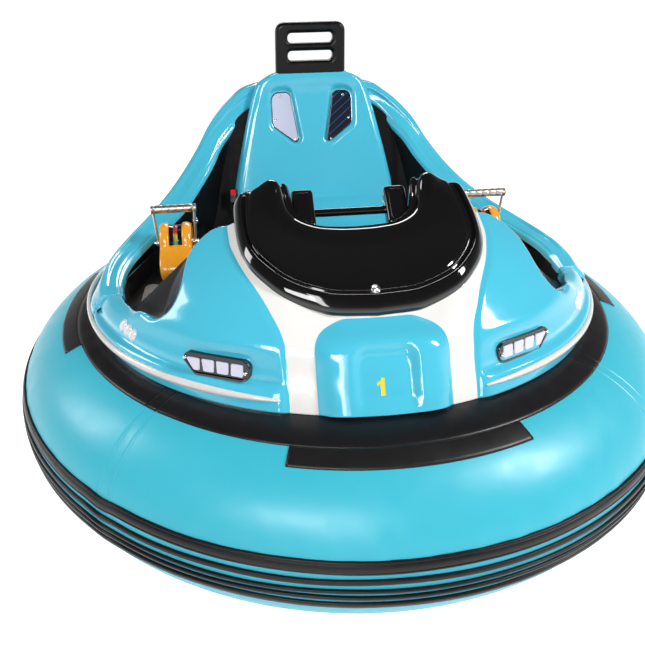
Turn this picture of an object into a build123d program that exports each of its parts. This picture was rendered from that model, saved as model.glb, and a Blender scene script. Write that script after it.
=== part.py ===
from build123d import *
import os
from math import atan2, cos, degrees, radians, sin, sqrt, tan

# Bumper car with an inflated ring around a moulded two-lever body.
# Millimetres. The floor is z = 0, the ring's axis is the Z axis, and the nose points to -Y,
# so the driver's left is +X.

os.makedirs("parts", exist_ok=True)

# ---- clearances -------------------------------------------------------------------
SEAT_GAP = 0.3          # between a piece and the curved face that carries it
PIN_PLAY = 0.1          # radial play of a pin in its bore
MOVE_GAP = 6.0          # between a moving piece and whatever it passes

# ---- inflated ring ----------------------------------------------------------------
RING_RADIUS = 694.0     # centreline of the tube
TUBE_HALF_WIDTH = 250.0
TUBE_HALF_HEIGHT = 210.0
RING_HEIGHT = 255.0     # centreline above the floor
TUBE_SKIN = 3.0
BAND_SKIN = 2.0
BAND_INNER = RING_RADIUS - 94.0
BAND_OUTER = RING_RADIUS + 74.0
PATCH_OUTER = RING_RADIUS + 118.0
PATCH_ANGLE = 37.0      # degrees round the ring
PATCH_TURN = 2.0        # the set of patches is turned this far
PATCH_COUNT = 4
RIB_PROUD = 6.0
RIBS = (                # centre height, width
    (314.5, 28.0),
    (284.5, 12.0),
    (262.0, 8.0),
    (244.5, 9.5),
    (221.0, 16.0),
)

# ---- body shells ------------------------------------------------------------------
SHELL = 5.0
BASE_HALF_WIDTH = RING_RADIUS + 41.0     # the body's foot stands on the crown of the ring
HOOD_BASE_LENGTH = RING_RADIUS - 26.0
REAR_BASE_LENGTH = RING_RADIUS + 11.0
RING_TOP = RING_HEIGHT + TUBE_HALF_HEIGHT + SEAT_GAP + BAND_SKIN
BODY_BASE = RING_TOP + SEAT_GAP
SEAM_Y = -190.0         # hood ahead of it, rear moulding behind it
HOOD_LEVELS = (         # height, half width, half length of the oval
    (BODY_BASE, BASE_HALF_WIDTH, HOOD_BASE_LENGTH),
    (541.0, 690.0, 624.0),
    (611.0, 655.0, 588.0),
    (700.0, 520.0, 500.0),
    (800.0, 330.0, 310.0),
)
REAR_LEVELS = (
    (BODY_BASE, BASE_HALF_WIDTH, REAR_BASE_LENGTH),
    (640.0, 715.0, 690.0),
    (850.0, 690.0, 655.0),
    (1005.0, 640.0, 612.0),
)
BELL_FRONT_Y = SEAM_Y - 60.0
BELL_REAR_Y = 480.0
BELL_END_Y = 760.0
BELL = (                # x and z where the arch starts, x and z at its tall end
    (BASE_HALF_WIDTH, BODY_BASE - 20.0, BASE_HALF_WIDTH, BODY_BASE - 20.0),
    (BASE_HALF_WIDTH, 505.0, 690.0, 480.0),
    (700.0, 560.0, 575.0, 535.0),
    (640.0, 598.0, 490.0, 615.0),
    (580.0, 606.0, 405.0, 730.0),
    (520.0, 612.0, 335.0, 855.0),
    (420.0, 620.0, 262.0, 950.0),
    (250.0, 630.0, 180.0, 994.0),
)
BELL_CROWN = 6.0        # rise of the arch's top at its middle
RIM_SIDE = (            # y, height of the rim seen from the side
    (-260.0, 590.0),
    (60.0, 612.0),
    (230.0, 640.0),
    (330.0, 700.0),
    (400.0, 790.0),
    (440.0, 900.0),
    (480.0, 1010.0),
    (720.0, 1010.0),
)
PAD_HALF_WIDTH = 147.0
PAD_TOP = 640.0
PAD_CORNER = 60.0
PAD_PROUD = 12.0
BELOW_BODY = 400.0      # lower than the foot of the body
ABOVE_ALL = 1300.0      # higher than any piece
BEYOND_ALL = 900.0      # further out than any piece

# ---- cockpit ----------------------------------------------------------------------
COWL_INSIDE = 150.0     # half width between the cowl's arms
COWL_FRONT_INSIDE = -272.0
NOTCH_CORNER = 70.0
OPENING = (             # x, y, corner radius, from the nose round to the seat back
    (COWL_INSIDE, COWL_FRONT_INSIDE, NOTCH_CORNER),
    (COWL_INSIDE, -192.0, 8.0),
    (335.0, -215.0, 40.0),
    (412.0, -262.0, 25.0),
    (424.0, -380.0, 20.0),
    (478.0, -434.0, 25.0),
    (532.0, -330.0, 30.0),
    (612.0, -262.0, 40.0),
    (622.0, -60.0, 120.0),
    (560.0, 150.0, 120.0),
    (436.0, 330.0, 90.0),
    (372.0, 492.0, 60.0),
)
OPENING_REAR = 520.0
OPENING_REAR_X = 300.0
OPENING_REAR_CORNER = 30.0
TUB_FLOOR = 235.0
TUB_SKIN = 5.0
TUB_PROFILE = (         # radius, height of the bowl's inner face
    (400.0, TUB_FLOOR + TUB_SKIN),
    (420.0, 330.0),
    (500.0, 478.0),
)
SHELF_HEIGHT = 478.0
SHELF_INSIDE = 400.0    # half width between the side shelves
SHELF_REAR = 455.0      # half length of the same
SCOOP_REAR = -215.0
SCOOP_INNER_X = 416.0
SCOOP_SKIN = 5.0
SCOOP_FACE = Plane(origin=(490, -330, 600), z_dir=(0.66, -0.15, 0.73))
TREAD_PLACE = (558.0, -75.0)
TREAD_SIZE = (190.0, 44.0, 4.0)
LINER_TOP = 545.0       # the tub's edge behind the body's rim
FLOOR_PLATE_SKIN = 3.0
FLOOR_PLATE_MARGIN = 10.0

# ---- cowl -------------------------------------------------------------------------
COWL_HALF_WIDTH = 300.0
COWL_FRONT = -535.0
COWL_OUTLINE = (        # x, y, corner radius, behind the straight front edge
    (200.0, COWL_FRONT, 120.0),
    (COWL_HALF_WIDTH, -330.0, 130.0),
    (COWL_HALF_WIDTH, -200.0, 50.0),
    (235.0, -172.0, 40.0),
)
COWL_RISE = 34.0
COWL_SKIN = 6.0
COWL_BASE = 560.0       # nothing of the cowl reaches lower

# ---- seat -------------------------------------------------------------------------
SEAT_SKIN = 28.0
SEAT_PLAY = 1.0         # between the seat and the bulkhead's cut-out
SEAT_TOP = 1000.0
SEAT_BACK_Y = 506.0     # front face of the back at SEAT_BACK_Z
SEAT_BACK_Z = 784.0
SEAT_LEAN = 15.7
SEAT_FRONT_Y = 20.0
SEAT_OUTLINE = (        # half width, height
    (285.0, TUB_FLOOR + TUB_SKIN),
    (285.0, 640.0),
    (255.0, 760.0),
    (190.0, 900.0),
    (150.0, SEAT_TOP),
)
SEAT_CUT_RISE = 20.0    # how far the cut for the seat runs past its top
INSERT_SKIN = 4.0
INSERT_CORNER = 8.0
INSERT = (              # x, z of the corners of the panel in the seat back
    (98.0, 948.0),
    (134.0, 914.0),
    (137.0, 846.0),
    (60.0, 776.0),
    (72.0, 905.0),
)
HEADREST = (244.0, 46.0, 165.0)
HEADREST_SET_BACK = 25.3         # its middle behind the front of the seat's top edge
HEADREST_CORNER = 22.0
HEADREST_SLOT = (156.0, 30.0, 14.0)
HEADREST_SLOTS = (61.0, 117.0)   # heights above the seat's top edge
BULKHEAD_Y = 505.0
BULKHEAD_SKIN = 5.0
ROLL = 72.0             # width of the rolled rim round the arch

# ---- lamps and small fittings -----------------------------------------------------
LAMP_SIZE = (168.0, 62.0, 24.0)
LAMP_CORNER = 18.0
LAMP_PLACE = (360.0, 532.0)      # x, z of the bezel's centre
LAMP_TURN = 24.0
LAMP_TILT = 12.0
LAMP_PROUD = 12.0
LAMP_POCKET = 60.0      # reach of the hole for it, each way
LENS_SIZE = (29.0, 36.0, 5.0)
LENS_COUNT = 4
LENS_PITCH = 34.0
MARKER_PLACE = (566.0, 545.0)    # x, z of the middle lobe
MARKER_STEP = (14.0, 10.0)       # x, z from one lobe to the next
MARKER_RADIUS = 18.0
STRIP_LOW = 482.0
STRIP_HEIGHT = 14.0
STRIP_PROUD = 5.0
STRIP_INNER_X = 232.0
HOLE_REACH = 120.0      # through the rear moulding's slanted wall
TAIL_RADIUS = 38.0
TAIL_DEPTH = 22.0
TAIL_X = 340.0
TAIL_Z = 600.0
SOCKET_RADIUS = 30.0
SOCKET_Z = 560.0
SOCKET_PROUD = 4.0
SOCKET_DEPTH = 34.0
SOCKET_BORE = 11.0
SOCKET_BORE_DEPTH = 20.0
LOCK_RADIUS = 10.0
LOCK_Z = 694.0
LOCK_LENGTH = 16.0
HANDLE_Y = -192.0
HANDLE_Z = 762.0
HANDLE_PLATE = (112.0, 34.0, 44.0)
HANDLE_CORNER = 12.0
HANDLE_SLANT = 41.0
HANDLE_BAR = 10.0
JOIN = 4.0              # how far fused members run into each other

# ---- running gear -----------------------------------------------------------------
RAIL = 40.0
RAIL_BASE = 160.0
RAIL_X = 200.0
CROSS_Y = 150.0
POST = 30.0             # square posts between the frame and the tub's floor
POST_Y = 270.0
SADDLE_LENGTH = 60.0    # blocks that the drive motors hang from
HOOP_OUTER = RING_RADIUS - TUBE_HALF_WIDTH - SEAT_GAP   # the hoop carries the ring
HOOP_WALL = 6.0
HOOP_HEIGHT = 85.0
WHEEL_RADIUS = 100.0
WHEEL_WIDTH = 50.0
WHEEL_X = 350.0
HUB_RADIUS = 72.0
HUB_WIDTH = 42.0
AXLE_RADIUS = 10.0
MOTOR_RADIUS = 50.0
MOTOR_LENGTH = 190.0
MOTOR_WHEEL_GAP = 30.0
CASTER_Y = 330.0
CASTER_RADIUS = 50.0
CASTER_WIDTH = 30.0
CASTER_TRAIL = 30.0
CASTER_EDGE = 8.0
FORK_PLATE = 6.0
FORK_TOP = 130.0
FORK_CROWN = (30.0, 8.0)         # radius, thickness
FORK_EYE = 14.0
FORK_SHOULDER = 20.0
STEM_RADIUS = 10.0
STEM_BOSS = (26.0, 20.0)         # radius, depth below the frame
STEM_ROOM = 20.0        # the bore's extra length in the frame above
BATTERY_SIZE = (168.0, 260.0, 208.0)
BATTERY_SPLIT = 2.0     # between the two batteries
BATTERY_Y = 190.0
BATTERY_MARGIN = 10.0   # round them in the tub's floor

# ---- levers -----------------------------------------------------------------------
LEVER_X = 478.0
LEVER_Y = 88.0
LEVER_Z = 592.0
LEVER_REACH = 106.0
LEVER_SPREAD = 124.0
GRIP_RADIUS = 12.0
DRUM_RADIUS = 60.0
DRUM_WIDTH = 96.0
DRUM_SLOT = (26.0, 8.0) # width, depth
DRUM_SLOT_DROP = 40.0   # how far below the pivot it begins
TOE_LENGTH = 45.0       # the housing's slope towards the nose
EYE_RADIUS = 11.0
EYE_WIDTH = 6.0
LEG_THICKNESS = 8.0
PIVOT_RADIUS = 6.0
PIN_PROUD = 3.0
GRIP_PROUD = 2.0
BUCKLE = (26.0, 20.0, 52.0)
BUCKLE_Z = 590.0
BUCKLE_FORWARD = 6.0
STALK = (5.0, 60.0)


SIDES = ((1, "left"), (-1, "right"))     # the driver's left is +X
UPWARD = (Align.CENTER, Align.CENTER, Align.MIN)
DOWNWARD = (Align.CENTER, Align.CENTER, Align.MAX)
AHEAD = (Align.CENTER, Align.MAX, Align.MIN)
OUTWARD_AHEAD = (Align.MIN, Align.MAX, Align.MIN)


def save(builder, name):
    builder.part.label = name
    export_step(builder.part, f"parts/{name}.step")


def level_oval_solid(levels, grow=0.0):
    """Solid through level ovals, grown outwards and upwards, or shrunk if negative."""
    with BuildPart() as shape:
        for index, (height, half_width, half_length) in enumerate(levels):
            lift = grow if index else -abs(grow)
            with BuildSketch(Plane.XY.offset(height + lift)):
                Ellipse(half_width + grow, half_length + grow)
        loft(ruled=True)
    return shape.part


def opening_prism(low, high, inset=0.0):
    """Upright prism of the cockpit opening between two heights."""
    corners = [(x, y) for x, y, _ in OPENING]
    bends = [bend for _, _, bend in OPENING]
    rear = [(OPENING_REAR_X, OPENING_REAR), (0, OPENING_REAR)]
    path = [(0, COWL_FRONT_INSIDE)] + corners + rear
    with BuildPart() as prism:
        with BuildSketch(Plane.XY.offset(low)):
            with BuildLine():
                FilletPolyline(*path, radius=bends + [OPENING_REAR_CORNER])
                mirror(about=Plane.YZ)
            make_face()
            if inset:
                offset(amount=-inset, kind=Kind.INTERSECTION, mode=Mode.REPLACE)
        extrude(amount=high - low)
    return prism.part


def bell_solid(shrink=0.0):
    """Bell-shaped solid that runs back along Y and narrows towards its tall end."""
    with BuildPart() as bell:
        for y, columns in ((BELL_FRONT_Y, (0, 1)), (BELL_REAR_Y, (2, 3)), (BELL_END_Y, (2, 3))):
            half = [(row[columns[0]] - shrink, row[columns[1]] - shrink) for row in BELL]
            left = [(-x, z) for x, z in reversed(half)]
            crown = (0, half[-1][1] + BELL_CROWN)
            with BuildSketch(Plane.XZ.offset(-y)):
                Polygon(*half, crown, *left, align=None)
        loft(ruled=True)
    return bell.part


def rim_side_solid(shrink=0.0):
    """Solid under the rim's side view, as wide as the body."""
    width = 2 * BASE_HALF_WIDTH
    top = [(y + shrink * (index > 1), z - shrink) for index, (y, z) in enumerate(RIM_SIDE)]
    with BuildPart() as side:
        with BuildSketch(Plane.YZ):
            Polygon(*top, (top[-1][0], BELOW_BODY), (top[0][0], BELOW_BODY), align=None)
        extrude(amount=width, both=True)
    return side.part


def seat_face_y(height):
    return SEAT_BACK_Y + (height - SEAT_BACK_Z) * tan(radians(SEAT_LEAN))


def seat_outline_prism(grow=0.0):
    """Seat seen from the front, carried right through the car."""
    half = [(x + grow, z) for x, z in SEAT_OUTLINE]
    top = (half[-1][0], half[-1][1] + SEAT_CUT_RISE)
    left = [(-x, z) for x, z in reversed(half + [top])]
    with BuildPart() as prism:
        with BuildSketch(Plane.XZ):
            Polygon(*half, top, *left, align=None)
        extrude(amount=-BEYOND_ALL)
    return prism.part


def leaning_slab(front, back, low, high):
    """Slab along X between two distances behind the seat back's front face."""
    lean = cos(radians(SEAT_LEAN))
    around = ((front, low), (front, high), (back, high), (back, low))
    corners = [(seat_face_y(z) + distance / lean, z) for distance, z in around]
    with BuildPart() as slab:
        with BuildSketch(Plane.YZ):
            Polygon(*corners, align=None)
        extrude(amount=BEYOND_ALL, both=True)
    return slab.part


def cockpit_void(grow=0.0):
    """Space the cockpit takes out of the rear moulding."""
    with BuildPart() as arch:
        add(bell_solid(ROLL - grow))
        add(half_space(-BEYOND_ALL, BELL_REAR_Y - ROLL))
    with BuildPart() as seat_room:
        add(leaning_slab(-200.0, SEAT_SKIN + SEAT_GAP + grow, 700.0, SEAT_TOP + SEAT_CUT_RISE))
        add(seat_outline_prism(SEAT_GAP + grow), mode=Mode.INTERSECT)
    with BuildPart() as void:
        add(opening_prism(BELOW_BODY, ABOVE_ALL, -grow))
        add(arch.part, mode=Mode.INTERSECT)
        add(seat_room.part)
    return void.part


def half_space(low_y, high_y):
    """Block across the whole car between two distances along Y."""
    with BuildPart() as block:
        with Locations((0, (low_y + high_y) / 2, ABOVE_ALL / 2)):
            Box(4 * BEYOND_ALL, high_y - low_y, 2 * ABOVE_ALL)
    return block.part


def oval_front_y(levels, x, height):
    """Distance ahead of the axis of the straight-sided oval at one height."""
    for (z0, a0, b0), (z1, a1, b1) in zip(levels, levels[1:]):
        if z0 <= height <= z1:
            share = (height - z0) / (z1 - z0)
            half_width = a0 + share * (a1 - a0)
            half_length = b0 + share * (b1 - b0)
    return half_length * sqrt(1 - (x / half_width) ** 2)


def rear_face_y(height, x=0.0):
    return oval_front_y(REAR_LEVELS, x, height)


def rear_lamp_places():
    places = []
    for side in (-1, 1):
        y = rear_face_y(TAIL_Z, TAIL_X)
        turn = degrees(atan2(side * TAIL_X, y))
        places.append(Location((side * TAIL_X, y, TAIL_Z), (0, 0, -turn)) * Location((0, 0, 0), (90, 0, 0)))
    return places


# ---- ring -------------------------------------------------------------------------
def tube_shell_sketch(inner_lift, outer_lift):
    with Locations((RING_RADIUS, RING_HEIGHT)):
        Ellipse(TUBE_HALF_WIDTH + outer_lift, TUBE_HALF_HEIGHT + outer_lift)
        Ellipse(TUBE_HALF_WIDTH + inner_lift, TUBE_HALF_HEIGHT + inner_lift, mode=Mode.SUBTRACT)


with BuildPart() as bumper_ring:
    with BuildSketch(Plane.XZ):
        tube_shell_sketch(-TUBE_SKIN, 0)
    revolve(axis=Axis.Z)
save(bumper_ring, "bumper_ring")

with BuildPart() as ring_band:
    with BuildSketch(Plane.XZ):
        tube_shell_sketch(SEAT_GAP, SEAT_GAP + BAND_SKIN)
        with Locations(((BAND_INNER + BAND_OUTER) / 2, RING_HEIGHT + TUBE_HALF_HEIGHT)):
            Rectangle(BAND_OUTER - BAND_INNER, TUBE_HALF_HEIGHT, mode=Mode.INTERSECT)
    revolve(axis=Axis.Z)
save(ring_band, "ring_band")

with BuildPart() as ring_patches:
    with BuildSketch(Plane.XZ.rotated((0, 0, PATCH_TURN - PATCH_ANGLE / 2))):
        tube_shell_sketch(SEAT_GAP, SEAT_GAP + BAND_SKIN)
        with Locations(((BAND_OUTER + PATCH_OUTER + SEAT_GAP) / 2, RING_HEIGHT + TUBE_HALF_HEIGHT)):
            Rectangle(PATCH_OUTER - BAND_OUTER - SEAT_GAP, TUBE_HALF_HEIGHT, mode=Mode.INTERSECT)
    revolve(axis=Axis.Z, revolution_arc=PATCH_ANGLE)
    others = PATCH_COUNT - 1
    quarter = 360 / PATCH_COUNT
    with PolarLocations(0, others, start_angle=quarter, angular_range=others * quarter):
        add(ring_patches.part)
save(ring_patches, "ring_patches")

with BuildPart() as rub_strips:
    for height, width in RIBS:
        with BuildSketch(Plane.XZ):
            tube_shell_sketch(SEAT_GAP, RIB_PROUD)
            with Locations((RING_RADIUS + TUBE_HALF_WIDTH, height)):
                Rectangle(TUBE_HALF_WIDTH, width, mode=Mode.INTERSECT)
        revolve(axis=Axis.Z)
save(rub_strips, "rub_strips")

def lamp_plane(side, depth=0.0):
    """Plane of a headlight's face, moved in by a depth."""
    turn, tilt = radians(LAMP_TURN), radians(LAMP_TILT)
    out = Vector(side * sin(turn) * cos(tilt), -cos(turn) * cos(tilt), sin(tilt))
    y = -oval_front_y(HOOD_LEVELS, LAMP_PLACE[0], LAMP_PLACE[1])
    centre = Vector(side * LAMP_PLACE[0], y, LAMP_PLACE[1])
    return Plane(origin=centre - out * depth, x_dir=(cos(turn), side * sin(turn), 0), z_dir=out)


def lamp_block(side, grow, front, back):
    with BuildPart() as block:
        with BuildSketch(lamp_plane(side, -front)):
            RectangleRounded(LAMP_SIZE[0] + 2 * grow, LAMP_SIZE[1] + 2 * grow, LAMP_CORNER + grow)
        extrude(amount=-(front + back))
    return block.part


# ---- front hood -------------------------------------------------------------------
with BuildPart() as pad_block:
    with BuildSketch(Plane.XZ.offset(HOOD_BASE_LENGTH / 2)):
        with Locations((0, BODY_BASE)):
            Rectangle(2 * PAD_HALF_WIDTH, PAD_TOP - BODY_BASE, align=(Align.CENTER, Align.MIN))
        fillet(vertices().group_by(Axis.Y)[-1], PAD_CORNER)
    extrude(amount=HOOD_BASE_LENGTH)
    add(level_oval_solid(HOOD_LEVELS, PAD_PROUD), mode=Mode.INTERSECT)

with BuildPart() as front_hood:
    add(level_oval_solid(HOOD_LEVELS))
    add(pad_block.part)
    add(level_oval_solid(HOOD_LEVELS, -SHELL), mode=Mode.SUBTRACT)
    add(half_space(-BEYOND_ALL, SEAM_Y), mode=Mode.INTERSECT)
    add(opening_prism(BELOW_BODY, ABOVE_ALL), mode=Mode.SUBTRACT)
    for side in (-1, 1):
        add(lamp_block(side, SEAT_GAP, LAMP_POCKET, LAMP_POCKET), mode=Mode.SUBTRACT)
save(front_hood, "front_hood")

# ---- rear moulding ----------------------------------------------------------------
with BuildPart() as rear_cavity:
    add(level_oval_solid(REAR_LEVELS, -SHELL))
    add(bell_solid(SHELL), mode=Mode.INTERSECT)
    add(rim_side_solid(SHELL), mode=Mode.INTERSECT)
    add(cockpit_void(SHELL), mode=Mode.SUBTRACT)

with BuildPart() as rear_body:
    add(level_oval_solid(REAR_LEVELS))
    add(bell_solid(), mode=Mode.INTERSECT)
    add(rim_side_solid(), mode=Mode.INTERSECT)
    add(half_space(SEAM_Y + SEAT_GAP, BEYOND_ALL), mode=Mode.INTERSECT)
    add(cockpit_void(), mode=Mode.SUBTRACT)
    add(rear_cavity.part, mode=Mode.SUBTRACT)
    with Locations(*rear_lamp_places()):
        Cylinder(TAIL_RADIUS + SEAT_GAP, HOLE_REACH, mode=Mode.SUBTRACT)
    with Locations(Location((0, rear_face_y(SOCKET_Z), SOCKET_Z), (90, 0, 0))):
        Cylinder(SOCKET_RADIUS + SEAT_GAP, HOLE_REACH, mode=Mode.SUBTRACT)
save(rear_body, "rear_body")

# ---- cowl, grab bar and lock ------------------------------------------------------
def cowl_prism(inset=0.0):
    """Horseshoe seen from above, without its notch."""
    corners = [(x, y) for x, y, _ in COWL_OUTLINE]
    bends = [bend for _, _, bend in COWL_OUTLINE]
    path = [(0, COWL_FRONT)] + corners + [(0, corners[-1][1])]
    with BuildPart() as prism:
        with BuildSketch(Plane.XY.offset(BELOW_BODY)):
            with BuildLine():
                FilletPolyline(*path, radius=bends)
                mirror(about=Plane.YZ)
            make_face()
            if inset:
                offset(amount=-inset, kind=Kind.INTERSECTION, mode=Mode.REPLACE)
        extrude(amount=ABOVE_ALL - BELOW_BODY)
    return prism.part


def notch_prism(grow=0.0):
    """Room between the cowl's two arms."""
    with BuildPart() as prism:
        with BuildSketch(Plane.XY.offset(BELOW_BODY)):
            with Locations((0, COWL_FRONT_INSIDE - grow)):
                Rectangle(2 * (COWL_INSIDE + grow), BEYOND_ALL, align=(Align.CENTER, Align.MIN))
            fillet(vertices().group_by(Axis.Y)[0], NOTCH_CORNER + grow)
        extrude(amount=ABOVE_ALL - BELOW_BODY)
    return prism.part


lock_place = Location((0, COWL_FRONT, LOCK_Z), (90, 0, 0))

with BuildPart() as cowl_cavity:
    add(level_oval_solid(HOOD_LEVELS, COWL_RISE - COWL_SKIN))
    add(cowl_prism(COWL_SKIN), mode=Mode.INTERSECT)
    add(notch_prism(COWL_SKIN), mode=Mode.SUBTRACT)

with BuildPart() as front_cowl:
    add(level_oval_solid(HOOD_LEVELS, COWL_RISE))
    add(cowl_prism(), mode=Mode.INTERSECT)
    add(notch_prism(), mode=Mode.SUBTRACT)
    add(cowl_cavity.part, mode=Mode.SUBTRACT)
    add(level_oval_solid(HOOD_LEVELS, SEAT_GAP), mode=Mode.SUBTRACT)
    with BuildSketch(Plane.XY.offset(COWL_BASE)):
        Rectangle(2 * BEYOND_ALL, 2 * BEYOND_ALL)
    extrude(amount=-COWL_BASE, mode=Mode.SUBTRACT)
    with Locations(lock_place):
        Cylinder(LOCK_RADIUS + SEAT_GAP, 2 * LOCK_LENGTH, mode=Mode.SUBTRACT)
save(front_cowl, "front_cowl")

with BuildPart() as cowl_lock:
    with Locations(lock_place):
        Cylinder(LOCK_RADIUS, LOCK_LENGTH)
save(cowl_lock, "cowl_lock")

with BuildPart() as grab_bar:
    plate_outer = COWL_INSIDE - SEAT_GAP
    for side in (-1, 1):
        with BuildSketch(Plane.YZ.offset(side * plate_outer)):
            with Locations(Location((HANDLE_Y, HANDLE_Z), HANDLE_SLANT)):
                RectangleRounded(HANDLE_PLATE[0], HANDLE_PLATE[1], HANDLE_CORNER)
        extrude(amount=-side * HANDLE_PLATE[2])
    with Locations(Location((0, HANDLE_Y, HANDLE_Z), (0, 90, 0))):
        Cylinder(HANDLE_BAR, 2 * (plate_outer - HANDLE_PLATE[2]) + JOIN)
save(grab_bar, "grab_bar")

# ---- cockpit ----------------------------------------------------------------------
shelf_top = SHELF_HEIGHT + TUB_SKIN
battery_half_width = BATTERY_SIZE[0] + BATTERY_SPLIT / 2
with BuildPart() as cockpit_tub:
    add(opening_prism(SHELF_HEIGHT, LINER_TOP, SEAT_GAP))
    add(opening_prism(shelf_top, LINER_TOP, SEAT_GAP + TUB_SKIN), mode=Mode.SUBTRACT)
    with Locations((0, 0, SHELF_HEIGHT)):
        Box(2 * SHELF_INSIDE, 2 * SHELF_REAR, 2 * LINER_TOP, mode=Mode.SUBTRACT)
    for low_y, high_y in ((-BEYOND_ALL, SCOOP_REAR + SEAT_GAP), (BULKHEAD_Y - SEAT_GAP, BEYOND_ALL)):
        with Locations((0, (low_y + high_y) / 2, shelf_top)):
            Box(2 * BEYOND_ALL, high_y - low_y, LINER_TOP, align=UPWARD, mode=Mode.SUBTRACT)
    with BuildSketch(Plane.XZ):
        outer = [(x + TUB_SKIN, z) for x, z in reversed(TUB_PROFILE[1:])]
        foot = (TUB_PROFILE[0][0] + TUB_SKIN - 1, TUB_FLOOR)
        Polygon((0, TUB_FLOOR + TUB_SKIN), *TUB_PROFILE, *outer, foot, (0, TUB_FLOOR), align=None)
    revolve(axis=Axis.Z)
    with Locations((0, BATTERY_Y, TUB_FLOOR)):
        Box(2 * (battery_half_width + BATTERY_MARGIN), BATTERY_SIZE[1] + 2 * BATTERY_MARGIN, 4 * TUB_SKIN,
            mode=Mode.SUBTRACT)
save(cockpit_tub, "cockpit_tub")

with BuildPart() as tread_plates:
    with BuildSketch(Plane.XY.offset(TUB_FLOOR + TUB_SKIN)):
        Circle(TUB_PROFILE[0][0] - FLOOR_PLATE_MARGIN)
        with Locations((0, SEAT_FRONT_Y - FLOOR_PLATE_MARGIN)):
            Rectangle(2 * BEYOND_ALL, BEYOND_ALL, align=(Align.CENTER, Align.MIN), mode=Mode.SUBTRACT)
    extrude(amount=FLOOR_PLATE_SKIN)
    with BuildSketch(Plane.XY.offset(shelf_top)):
        for side in (-1, 1):
            with Locations((side * TREAD_PLACE[0], TREAD_PLACE[1])):
                SlotOverall(TREAD_SIZE[0], TREAD_SIZE[1], rotation=90)
    extrude(amount=TREAD_SIZE[2])
save(tread_plates, "tread_plates")

with BuildPart() as seat:
    with BuildSketch(Plane.YZ):
        slant = SEAT_SKIN / cos(radians(SEAT_LEAN))
        pan_top = shelf_top + SEAT_SKIN
        Polygon(
            (SEAT_FRONT_Y, TUB_FLOOR + TUB_SKIN), (SEAT_FRONT_Y, pan_top),
            (seat_face_y(pan_top), pan_top), (seat_face_y(SEAT_TOP), SEAT_TOP),
            (seat_face_y(SEAT_TOP) + slant, SEAT_TOP), (seat_face_y(shelf_top) + slant, shelf_top),
            (SEAT_FRONT_Y + SEAT_SKIN, shelf_top), (SEAT_FRONT_Y + SEAT_SKIN, TUB_FLOOR + TUB_SKIN),
            align=None)
    extrude(amount=BEYOND_ALL, both=True)
    add(seat_outline_prism(), mode=Mode.INTERSECT)
save(seat, "seat")

for side, name in SIDES:
    with BuildPart() as insert:
        with BuildSketch(Plane.XZ):
            Polygon(*[(side * x, z) for x, z in INSERT], align=None)
            fillet(vertices(), INSERT_CORNER)
        extrude(amount=-BEYOND_ALL)
        add(leaning_slab(-INSERT_SKIN - SEAT_GAP, -SEAT_GAP, shelf_top, SEAT_TOP), mode=Mode.INTERSECT)
    save(insert, f"back_insert_{name}")

with BuildPart() as headrest:
    headrest_y = seat_face_y(SEAT_TOP) + HEADREST_SET_BACK
    with BuildSketch(Plane.XZ.offset(HEADREST[1] / 2 - headrest_y)):
        with Locations((0, SEAT_TOP + HEADREST[2] / 2)):
            RectangleRounded(HEADREST[0], HEADREST[2], HEADREST_CORNER)
        for height in HEADREST_SLOTS:
            with Locations((0, SEAT_TOP + height)):
                RectangleRounded(*HEADREST_SLOT, mode=Mode.SUBTRACT)
    extrude(amount=-HEADREST[1])
save(headrest, "headrest")

with BuildPart() as seat_hole:
    add(seat_outline_prism(SEAT_PLAY))
    add(leaning_slab(-200.0, SEAT_SKIN + SEAT_PLAY, shelf_top + SEAT_SKIN, SEAT_TOP + SEAT_CUT_RISE),
        mode=Mode.INTERSECT)

with BuildPart() as rear_bulkhead:
    with Locations((0, BULKHEAD_Y, shelf_top)):
        Box(2 * BEYOND_ALL, BULKHEAD_SKIN, ABOVE_ALL, align=(Align.CENTER, Align.MIN, Align.MIN))
    add(cockpit_void(-SEAT_GAP), mode=Mode.INTERSECT)
    add(seat_hole.part, mode=Mode.SUBTRACT)
save(rear_bulkhead, "rear_bulkhead")

for side, name in SIDES:
    with BuildPart() as scoop:
        with BuildSketch(SCOOP_FACE):
            Rectangle(BEYOND_ALL, BEYOND_ALL)
        extrude(amount=SCOOP_SKIN)
        add(opening_prism(BELOW_BODY, ABOVE_ALL, SEAT_GAP), mode=Mode.INTERSECT)
        with Locations((SCOOP_INNER_X, SCOOP_REAR, 0)):
            Box(BEYOND_ALL, BEYOND_ALL, ABOVE_ALL, align=OUTWARD_AHEAD, mode=Mode.INTERSECT)
    with BuildPart() as scoop_panel:
        add(scoop.part if side > 0 else mirror(scoop.part, about=Plane.YZ, mode=Mode.PRIVATE))
    save(scoop_panel, f"scoop_panel_{name}")

# ---- lamps and trim ---------------------------------------------------------------
def marker_lobes(side):
    with BuildPart() as lobes:
        for step in (-1, 0, 1):
            x = MARKER_PLACE[0] + step * MARKER_STEP[0]
            z = MARKER_PLACE[1] + step * MARKER_STEP[1]
            with Locations((side * x, -oval_front_y(HOOD_LEVELS, x, z), z)):
                Sphere(MARKER_RADIUS)
    return lobes.part


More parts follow.
